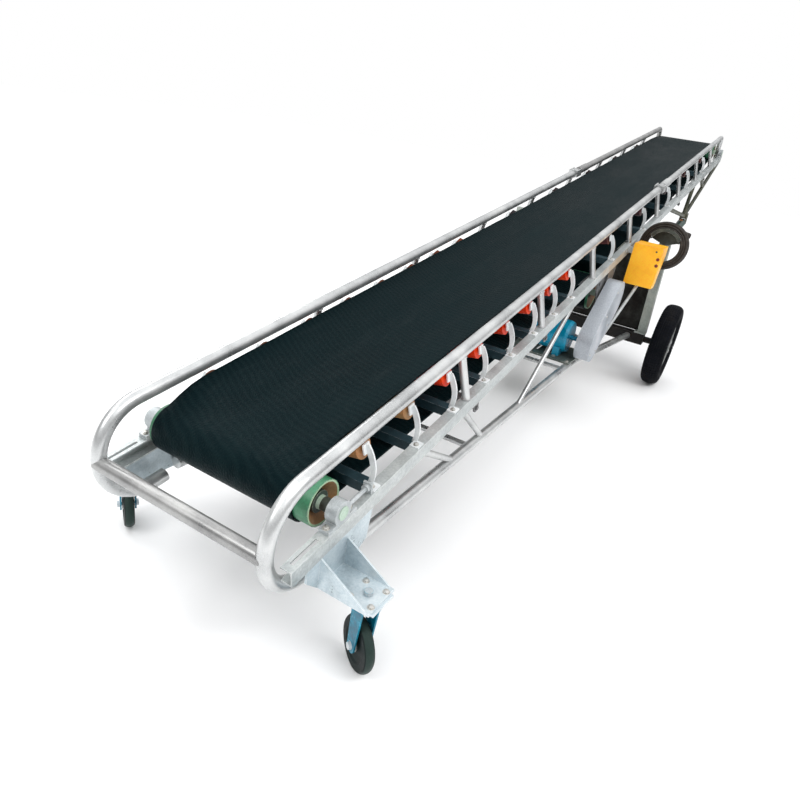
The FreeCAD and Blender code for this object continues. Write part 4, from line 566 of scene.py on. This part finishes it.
belt_rubber, tree, shader = new_material("belt_rubber")
weave = grain(tree, 135, 2, 0.5, stretch=(1, 1.35, 1), kind="ShaderNodeTexVoronoi", turn=(0, 0, 0.5))
dust = grain(tree, 2.2, 6, 0.66, stretch=(0.35, 1, 1))
scrape = grain(tree, 26, 4, 0.6, stretch=(0.06, 1, 1))
ribs = grain(tree, 13, 2, kind="ShaderNodeTexWave", turn=(0, 0, 0.35))
ribs.inputs["Distortion"].default_value = 6
ribs.inputs["Detail Scale"].default_value = 0.5
shade = ramp(tree, dust.outputs["Fac"], ((0.35, (0.0014, 0.0075, 0.0095)), (0.55, (0.0030, 0.0115, 0.0140)),
                                         (0.75, (0.0065, 0.0185, 0.0205))))
for amount, colour in (
    (spread(tree, ribs.outputs["Fac"], 0, 0.35, 0.3, 0.9), (0.010, 0.024, 0.026)),
    (spread(tree, scrape.outputs["Fac"], 0, 0.12, 0.55, 0.75), (0.04, 0.052, 0.053)),
    (spread(tree, weave.outputs["Distance"], 0, 0.35, 0.1, 0.6), (0.0010, 0.0022, 0.0026)),
    (edge_wear_and_highlight_mask(tree, 0.004), (0.05, 0.055, 0.055)),
):
    shade = blended(tree, amount, shade, colour)
tree.links.new(shade, shader.inputs["Base Color"])
rough = tree.nodes.new("ShaderNodeMath")
rough.operation = "SUBTRACT"
tree.links.new(spread(tree, dust.outputs["Fac"], 0.40, 0.56), rough.inputs[0])
tree.links.new(spread(tree, coordinate(tree, "X"), 0.14, 0, -3.42, -3.25), rough.inputs[1])
tree.links.new(rough.outputs["Value"], shader.inputs["Roughness"])
shader.inputs["Specular IOR Level"].default_value = 0.03
shader.inputs["Specular Tint"].default_value = (0.62, 0.93, 1.0, 1)
relief(tree, shader, ((dust.outputs["Fac"], 0.004), (ribs.outputs["Fac"], 0.0009),
                      (weave.outputs["Distance"], 0.0016), (scrape.outputs["Fac"], 0.0006)))
finish_with(belt, belt_rubber)
bpy.ops.object.select_all(action="DESELECT")
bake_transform(belt)
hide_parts("belt_rear", "belt_head")

# ---------------------------------------------------------------- belt drums and their bearings
# The drums are green steel shells with a paler turned rim, a tan end and a dark hub. Those at the two ends
# turn in pale cast pillow blocks, and take-up screws push the tail's pair back along the channels.
HUB_OUT, SHAFT_OUT, COLLAR_FROM, COLLAR_TO = 0.036, 0.0225, 0.3255, 0.3570
DRUM_OUT, DRIVE_DRUM_OUT = 0.075, 0.110
collar_black = (0.03, 0.035, 0.03)
for node, (u, w), drum_out in (("tail_drum", TAIL_DRUM, DRUM_OUT), ("head_drum", HEAD_DRUM, DRUM_OUT),
                               ("drive_drum", DRIVE_DRUM, DRIVE_DRUM_OUT)):
    axis = (tuple(deck(u, 0, w)), (0, 1, 0))
    finish_with(node, coat(f"{node}_green", ((0.02, 0.12, 0.055), (0.035, 0.19, 0.09), (0.07, 0.28, 0.15)),
                           (0.3, 0.5), worn=(0.5, 0.55, 0.48), patch=10, fleck=140,
                           zones=((axis, drum_out - 0.008, drum_out - 0.002, (0.42, 0.60, 0.38)),
                                  (axis, HUB_OUT, drum_out - 0.008, (0.30, 0.15, 0.065)),
                                  (axis, SHAFT_OUT, HUB_OUT, (0.03, 0.04, 0.035)),
                                  (axis, 0, SHAFT_OUT, (0.45, 0.58, 0.47)),
                                  ("Y", COLLAR_FROM, COLLAR_TO, collar_black),
                                  ("Y", -COLLAR_TO, -COLLAR_FROM, collar_black))))
bearing_iron = coat("bearing_iron", ((0.32, 0.35, 0.36), (0.44, 0.47, 0.48), (0.56, 0.59, 0.60)),
                    (0.35, 0.55), metallic=0.35, worn=(0.82, 0.82, 0.80), patch=14, fleck=220,
                    fleck_depth=0.0006)
BEARING_V, BEARING_FOOT_W, BEARING_BOLT_OFF = 0.3768, -0.176, 0.054
for node, body, (u, w) in (("tail_bearings", "frame", TAIL_DRUM), ("head_bearings", "boom", HEAD_DRUM)):
    finish_with(node, bearing_iron)
    lay_out(f"{node}_bolts", body, bolt,
            [(deck(u + off, side * BEARING_V, BEARING_FOOT_W), DECK_UP, 0.009)
             for off in (-BEARING_BOLT_OFF, BEARING_BOLT_OFF) for side in (1, -1)], bolt_zinc)

# ---------------------------------------------------------------- drive
# A blue electric motor is bolted by its feet to a painted steel plate across the two lower tubes. A sheet
# steel guard, painted silver, closes in the drive belt that runs up from it to the drive drum.
motor_blue = coat("motor_blue", ((0.0, 0.15, 0.25), (0.0, 0.26, 0.42), (0.008, 0.38, 0.60)), (0.22, 0.42),
                  worn=(0.25, 0.33, 0.36), patch=8, fleck=130,
                  zones=(("Y", -0.010, 0.100, (0.01, 0.012, 0.014)),))
guard_silver = coat("guard_silver", ((0.36, 0.39, 0.43), (0.48, 0.52, 0.57), (0.60, 0.62, 0.66)),
                    (0.28, 0.48), metallic=0.4, worn=(0.78, 0.78, 0.77), patch=5, fleck=140,
                    zones=(("Y", -0.468, -0.385, (0.47, 0.50, 0.54)),))
base_paint = coat("base_paint", ((0.06, 0.075, 0.065), (0.10, 0.12, 0.105), (0.19, 0.21, 0.19)), (0.4, 0.6),
                  metallic=0.2, worn=(0.75, 0.75, 0.72), patch=9)
finish_with("drive_motor", motor_blue)
finish_with("belt_guard", guard_silver)
finish_with("motor_base", base_paint)
PLATE_TOP = 0.339
lay_out("motor_base_bolts", "frame", bolt,
        [((x + REST_X, y, PLATE_TOP), (0, 0, 1), 0.010) for x in (1.618, 1.912) for y in (-0.3625, 0.3625)]
        + [((x + REST_X, y, PLATE_TOP), (0, 0, 1), 0.011) for x in (1.645, 1.855) for y in (-0.268, -0.083)],
        bolt_zinc)

# The motor's body has thin cast cooling fins along it, and its terminal box is closed by four screws.
bpy.ops.mesh.primitive_cube_add(size=1, scale=(0.004, 0.110, 0.010))
bpy.ops.object.transform_apply(scale=True)
ease_edges(0.001, 1)
fin = take_mesh(smooth=False)
MOTOR_X, MOTOR_Y, MOTOR_Z, FINS_OUT = 1.750 + REST_X, -0.155, 0.455, 0.102
fins = bmesh.new()
for turn in (-30, *range(30, 211, 12)):
    angle = math.radians(turn)
    part = fin.copy()
    middle = (MOTOR_X + FINS_OUT * math.cos(angle), MOTOR_Y, MOTOR_Z + FINS_OUT * math.sin(angle))
    part.transform(Matrix.Translation(middle) @ Matrix.Rotation(math.pi / 2 - angle, 4, "Y"))
    fins.from_mesh(part)
    bpy.data.meshes.remove(part)
fin_mesh = bpy.data.meshes.new("motor_fins")
fins.to_mesh(fin_mesh)
fins.free()
motor_fins = bpy.data.objects.new("motor_fins", fin_mesh)
bpy.context.scene.collection.objects.link(motor_fins)
finish_with(motor_fins, motor_blue)
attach(motor_fins, "frame")
TERMINAL_LID, GUARD_FRONT = 0.500, -0.472
lay_out("terminal_box_screws", "frame", bolt,
        [((x + REST_X, y, TERMINAL_LID), (0, 0, 1), 0.004) for x in (1.840, 1.876) for y in (-0.190, -0.106)],
        bolt_zinc)
GUARD_SCREWS = ((1.690, 0.400), (1.812, 0.400), (1.960, 0.540), (1.870, 0.610), (1.990, 0.745),
                (2.120, 0.745))
lay_out("guard_screws", "frame", bolt,
        [((x + REST_X, GUARD_FRONT, z), (0, -1, 0), 0.0055) for x, z in GUARD_SCREWS], bolt_zinc)

# ---------------------------------------------------------------- lower tubes and braces
# Two straight galvanised tubes run low from the castors to the axle and carry the motor's plate. Slim
# tube braces tie them to the channels above.
for node in ("lower_chord_left", "lower_chord_right", "lower_braces"):
    finish_with(node, galvanised)

# ---------------------------------------------------------------- castors
# Each castor hangs from a bracket of welded plate, sprayed pale silver like the channels, on four bolts.
# The fork is pressed steel in a bright blue, with a painted highlight in paler cyan along its edges, and
# the wheel is hard black rubber with a worn grey tread.
castor_silver = coat("castor_silver", ((0.38, 0.45, 0.48), (0.52, 0.60, 0.64), (0.64, 0.71, 0.74)),
                     (0.26, 0.46), metallic=0.4, worn=(0.88, 0.89, 0.90), patch=8, fleck=130)
CASTOR_X, CASTOR_Y, CASTOR_PLATE_TOP = -0.796 + REST_X, 0.525, 0.290
CASTOR_ROUND, TRAIL, SWIVELLED = 0.090, 0.008, math.radians(57)
CASTOR_AXLE = (-math.sin(SWIVELLED), math.cos(SWIVELLED), 0)
for side, sign in (("left", 1), ("right", -1)):
    finish_with(f"castor_bracket_{side}", castor_silver)
    kingpin = ((CASTOR_X, sign * CASTOR_Y, 0), (0, 0, 1))
    wheel_middle = (CASTOR_X + TRAIL * math.cos(SWIVELLED), sign * CASTOR_Y + TRAIL * math.sin(SWIVELLED),
                    CASTOR_ROUND)
    wheel_axis = (wheel_middle, CASTOR_AXLE)
    # The fork's edge colour, a paler cyan, is a painted highlight along its edges.
    finish_with(f"castor_fork_{side}", coat(
        f"castor_blue_{side}", ((0.0, 0.08, 0.14), (0.0, 0.16, 0.25), (0.01, 0.27, 0.40)), (0.14, 0.30),
        worn=(0.06, 0.38, 0.50), patch=18, fleck=220, shine=0.35,
        zones=((kingpin, 0, 0.0145, (0.42, 0.46, 0.48)), (wheel_axis, 0, 0.0135, (0.62, 0.64, 0.65)))))
    finish_with(f"castor_wheel_{side}", coat(
        f"castor_rubber_{side}", ((0.002, 0.005, 0.005), (0.004, 0.009, 0.009), (0.012, 0.020, 0.019)),
        (0.4, 0.62), worn=(0.06, 0.085, 0.075), patch=20, fleck=240, shine=0.15,
        zones=((wheel_axis, 0.085, 0.2, (0.022, 0.040, 0.034)),
               (wheel_axis, 0, 0.022, (0.35, 0.36, 0.35)))))
    lay_out(f"castor_plate_bolts_{side}", "frame", bolt,
            [((CASTOR_X + dx, sign * CASTOR_Y + dy, CASTOR_PLATE_TOP), (0, 0, 1), 0.0085)
             for dx in (-0.0405, 0.0405) for dy in (-0.0355, 0.0355)], bolt_zinc)

# ---------------------------------------------------------------- axle and carriage
# The axle is a square beam. Two square legs and a cross beam stand on it, sprayed grey-green, with a
# steel panel across the front that the luffing cylinders push from. The panel and the frame past it
# towards the head are coloured near black: painted shade.
carriage_green = coat("carriage_green", ((0.22, 0.25, 0.23), (0.32, 0.35, 0.32), (0.44, 0.46, 0.42)),
                      (0.36, 0.56), metallic=0.2, worn=(0.70, 0.70, 0.67), patch=7, fleck=120, shine=0.12,
                      zones=(("X", 0.2176, 0.5, (0.010, 0.008, 0.007)),))
axle_dark = coat("axle_dark", ((0.010, 0.010, 0.010), (0.016, 0.015, 0.014), (0.04, 0.035, 0.03)),
                 (0.4, 0.65), worn=(0.22, 0.21, 0.20), patch=9, shine=0.15)
finish_with("carriage_frame", carriage_green)
finish_with("axle_beam", axle_dark)

# ---------------------------------------------------------------- road wheels
# Each road wheel is a pressed steel disc, held by five nuts, with a black rubber tyre. The tyre is
# moulded: a rounded carcass with rows of square tread blocks round its crown.
rim_grey = coat("rim_grey", ((0.16, 0.17, 0.17), (0.25, 0.26, 0.26), (0.36, 0.36, 0.35)), (0.35, 0.55),
                metallic=0.4, worn=(0.6, 0.6, 0.58), patch=10)
tyre_rubber = coat("tyre_rubber", ((0.003, 0.004, 0.006), (0.006, 0.007, 0.010), (0.016, 0.016, 0.017)),
                   (0.55, 0.8), worn=(0.028, 0.027, 0.026), patch=7, fleck=300, fleck_depth=0.0006,
                   edge=0.002, shine=0.05)
WHEEL_X, WHEEL_Y, WHEEL_Z = 2.810 + REST_X, 0.7475, 0.300
TYRE_SEAT, TYRE_OUT, TYRE_HALF, CARCASS_MIDDLE = 0.1902, 0.2945, 0.0575, 0.24
TREAD_FROM, TREAD_HALF, TREAD_GROOVE, TREAD_DEEP = 0.2845, 0.052, 0.0022, 0.0052
bpy.ops.mesh.primitive_torus_add(major_radius=CARCASS_MIDDLE, minor_radius=0.05, major_segments=80,
                                 minor_segments=26, rotation=(math.pi / 2, 0, 0))
bpy.ops.object.transform_apply(rotation=True)
tyre = bpy.context.object
for vertex in tyre.data.vertices:
    x, y, z = vertex.co
    out = math.hypot(x, z)
    angle = math.atan2(out - CARCASS_MIDDLE, y)
    square = (abs(math.cos(angle)) ** 3 + abs(math.sin(angle)) ** 3) ** (-1 / 3)
    middle, deep = (TYRE_SEAT + TYRE_OUT) / 2, (TYRE_OUT - TYRE_SEAT) / 2
    new_out = middle + deep * square * math.sin(angle)
    vertex.co = (x / out * new_out, TYRE_HALF * square * math.cos(angle), z / out * new_out)
for face in tyre.data.polygons:
    middle = face.center
    face.select = math.hypot(middle.x, middle.z) > TREAD_FROM and abs(middle.y) < TREAD_HALF
bpy.ops.object.mode_set(mode="EDIT")
bpy.ops.mesh.select_mode(type="FACE")
bpy.ops.mesh.inset(thickness=TREAD_GROOVE, depth=0, use_individual=True)
bpy.ops.mesh.extrude_faces_move(TRANSFORM_OT_shrink_fatten={"value": TREAD_DEEP})
bpy.ops.mesh.select_all(action="SELECT")
bpy.ops.mesh.normals_make_consistent(inside=False)
bpy.ops.object.mode_set(mode="OBJECT")
tyre_shape = take_mesh()
NUTS_OUT, NUT_TURNS = 0.068, [math.radians(72 * n) for n in range(5)]
for side, sign, disc_y in (("left", 1, 0.7455), ("right", -1, -0.7595)):
    mesh = tyre_shape.copy()
    mesh.transform(Matrix.Translation((WHEEL_X, sign * WHEEL_Y, WHEEL_Z)))
    road_tyre = bpy.data.objects.new(f"road_tyre_{side}", mesh)
    bpy.context.scene.collection.objects.link(road_tyre)
    finish_with(road_tyre, tyre_rubber)
    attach(road_tyre, f"wheel_{side}")
    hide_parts(f"tyre_{side}")
    finish_with(f"rim_{side}", rim_grey)
    lay_out(f"wheel_nuts_{side}", f"wheel_{side}", bolt,
            [((WHEEL_X + NUTS_OUT * math.cos(a), disc_y, WHEEL_Z + NUTS_OUT * math.sin(a)),
              (0, sign, 0), 0.009) for a in NUT_TURNS], bolt_zinc)

# ---------------------------------------------------------------- head truss and luffing cylinders
# A triangular truss of dark olive tube hangs under each side of the head frame. A dark green hydraulic
# cylinder a side pushes it up. Each barrel has two brass hexagon fittings for its hoses, one near each end.
truss_olive = coat("truss_olive", ((0.028, 0.034, 0.022), (0.055, 0.058, 0.038), (0.12, 0.115, 0.08)),
                   (0.35, 0.6), worn=(0.30, 0.29, 0.22), patch=8, shine=0.25)
cylinder_green = coat("cylinder_green", ((0.010, 0.030, 0.024), (0.018, 0.050, 0.040), (0.04, 0.09, 0.07)),
                      (0.25, 0.45), worn=(0.22, 0.26, 0.22), patch=9)
rod_chrome = coat("rod_chrome", ((0.55, 0.56, 0.57), (0.68, 0.69, 0.70), (0.78, 0.79, 0.80)), (0.08, 0.2),
                  metallic=1.0, worn=(0.85, 0.85, 0.85), patch=16, fleck=260, fleck_depth=0.0001)
brass = coat("brass", ((0.20, 0.07, 0.035), (0.34, 0.13, 0.06), (0.48, 0.24, 0.10)), (0.3, 0.5), metallic=0.7,
             worn=(0.7, 0.5, 0.3), patch=40)
finish_with("under_truss", truss_olive)
CYLINDER_Y, BARREL_TOP = 0.382, 0.037
UPPER_EYE, LOWER_EYE = deck(4.750, 0, -0.575), Vector((3.000 + REST_X, 0, 0.620))
CYLINDER_RUN = (LOWER_EYE - UPPER_EYE).normalized()
CYLINDER_UP = Vector((CYLINDER_RUN.z, 0, -CYLINDER_RUN.x))
for side, sign in (("left", 1), ("right", -1)):
    finish_with(f"cylinder_barrel_{side}", cylinder_green)
    finish_with(f"cylinder_rod_{side}", rod_chrome)
    start = UPPER_EYE + Vector((0, sign * CYLINDER_Y, 0)) + CYLINDER_UP * BARREL_TOP
    lay_out(f"hose_elbows_{side}", f"cylinder_barrel_{side}", bolt,
            [(start + CYLINDER_RUN * away, CYLINDER_UP, 0.012) for away in (0.090, 0.890)], brass)

# ---------------------------------------------------------------- control box
# The control box is folded sheet steel, sprayed orange, and hangs on two square arms. Two dark red push
# buttons and a black turn latch stand on its side that faces the tail. Steel conduit feeds the motor.
box_orange = coat("box_orange", ((0.88, 0.36, 0.006), (0.98, 0.45, 0.010), (1.0, 0.52, 0.02)), (0.32, 0.5),
                  worn=(0.62, 0.36, 0.14), patch=6, fleck=150)
button_red = coat("button_red", ((0.10, 0.006, 0.004), (0.17, 0.012, 0.008), (0.25, 0.03, 0.02)), (0.3, 0.5),
                  patch=60)
latch_black = coat("latch_black", ((0.010, 0.010, 0.010), (0.020, 0.020, 0.020), (0.05, 0.05, 0.05)),
                   (0.3, 0.5), patch=50)
arm_grey = coat("arm_grey", ((0.30, 0.32, 0.32), (0.42, 0.44, 0.44), (0.55, 0.57, 0.56)), (0.35, 0.55),
                metallic=0.3, worn=(0.72, 0.72, 0.70), patch=9)
saddle_green = coat("saddle_green", ((0.025, 0.030, 0.027), (0.045, 0.052, 0.046), (0.09, 0.10, 0.085)),
                    (0.4, 0.6), worn=(0.38, 0.39, 0.36), patch=10, shine=0.25)
finish_with("control_box", box_orange)
finish_with("box_arms", arm_grey)
finish_with("motor_conduit", arm_grey)
finish_with("cable_saddle", saddle_green)
BOX_TAIL_SIDE, DOOR_X, DOOR_Y, DOOR_Z = 2.300 + REST_X, 2.355 + REST_X, -0.613, 0.896
bpy.ops.mesh.primitive_cylinder_add(vertices=28, radius=1, depth=0.5, location=(0, 0, 0.25))
ease_edges(0.12, 3)
knob = take_mesh()
lay_out("push_buttons", "frame", knob,
        [((BOX_TAIL_SIDE, y, z), (-1, 0, 0), 0.0105) for y, z in ((-0.598, 0.951), (-0.600, 0.911))],
        button_red)
lay_out("door_latch", "frame", knob, [((BOX_TAIL_SIDE, -0.577, 0.995), (-1, 0, 0), 0.006)], latch_black)

# The door is a thin flat sheet with eased edges. It lies on the box's outer side.
bpy.ops.mesh.primitive_cube_add(size=1, location=(DOOR_X, DOOR_Y, DOOR_Z), scale=(0.092, 0.004, 0.226))
bpy.ops.object.transform_apply(location=True, scale=True)
door = bpy.context.object
door.name = "box_door"
ease_edges(0.0016, 2)
bpy.ops.object.shade_smooth_by_angle(angle=math.radians(35))
bpy.ops.object.select_all(action="DESELECT")
finish_with(door, box_orange)
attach(door, "frame")
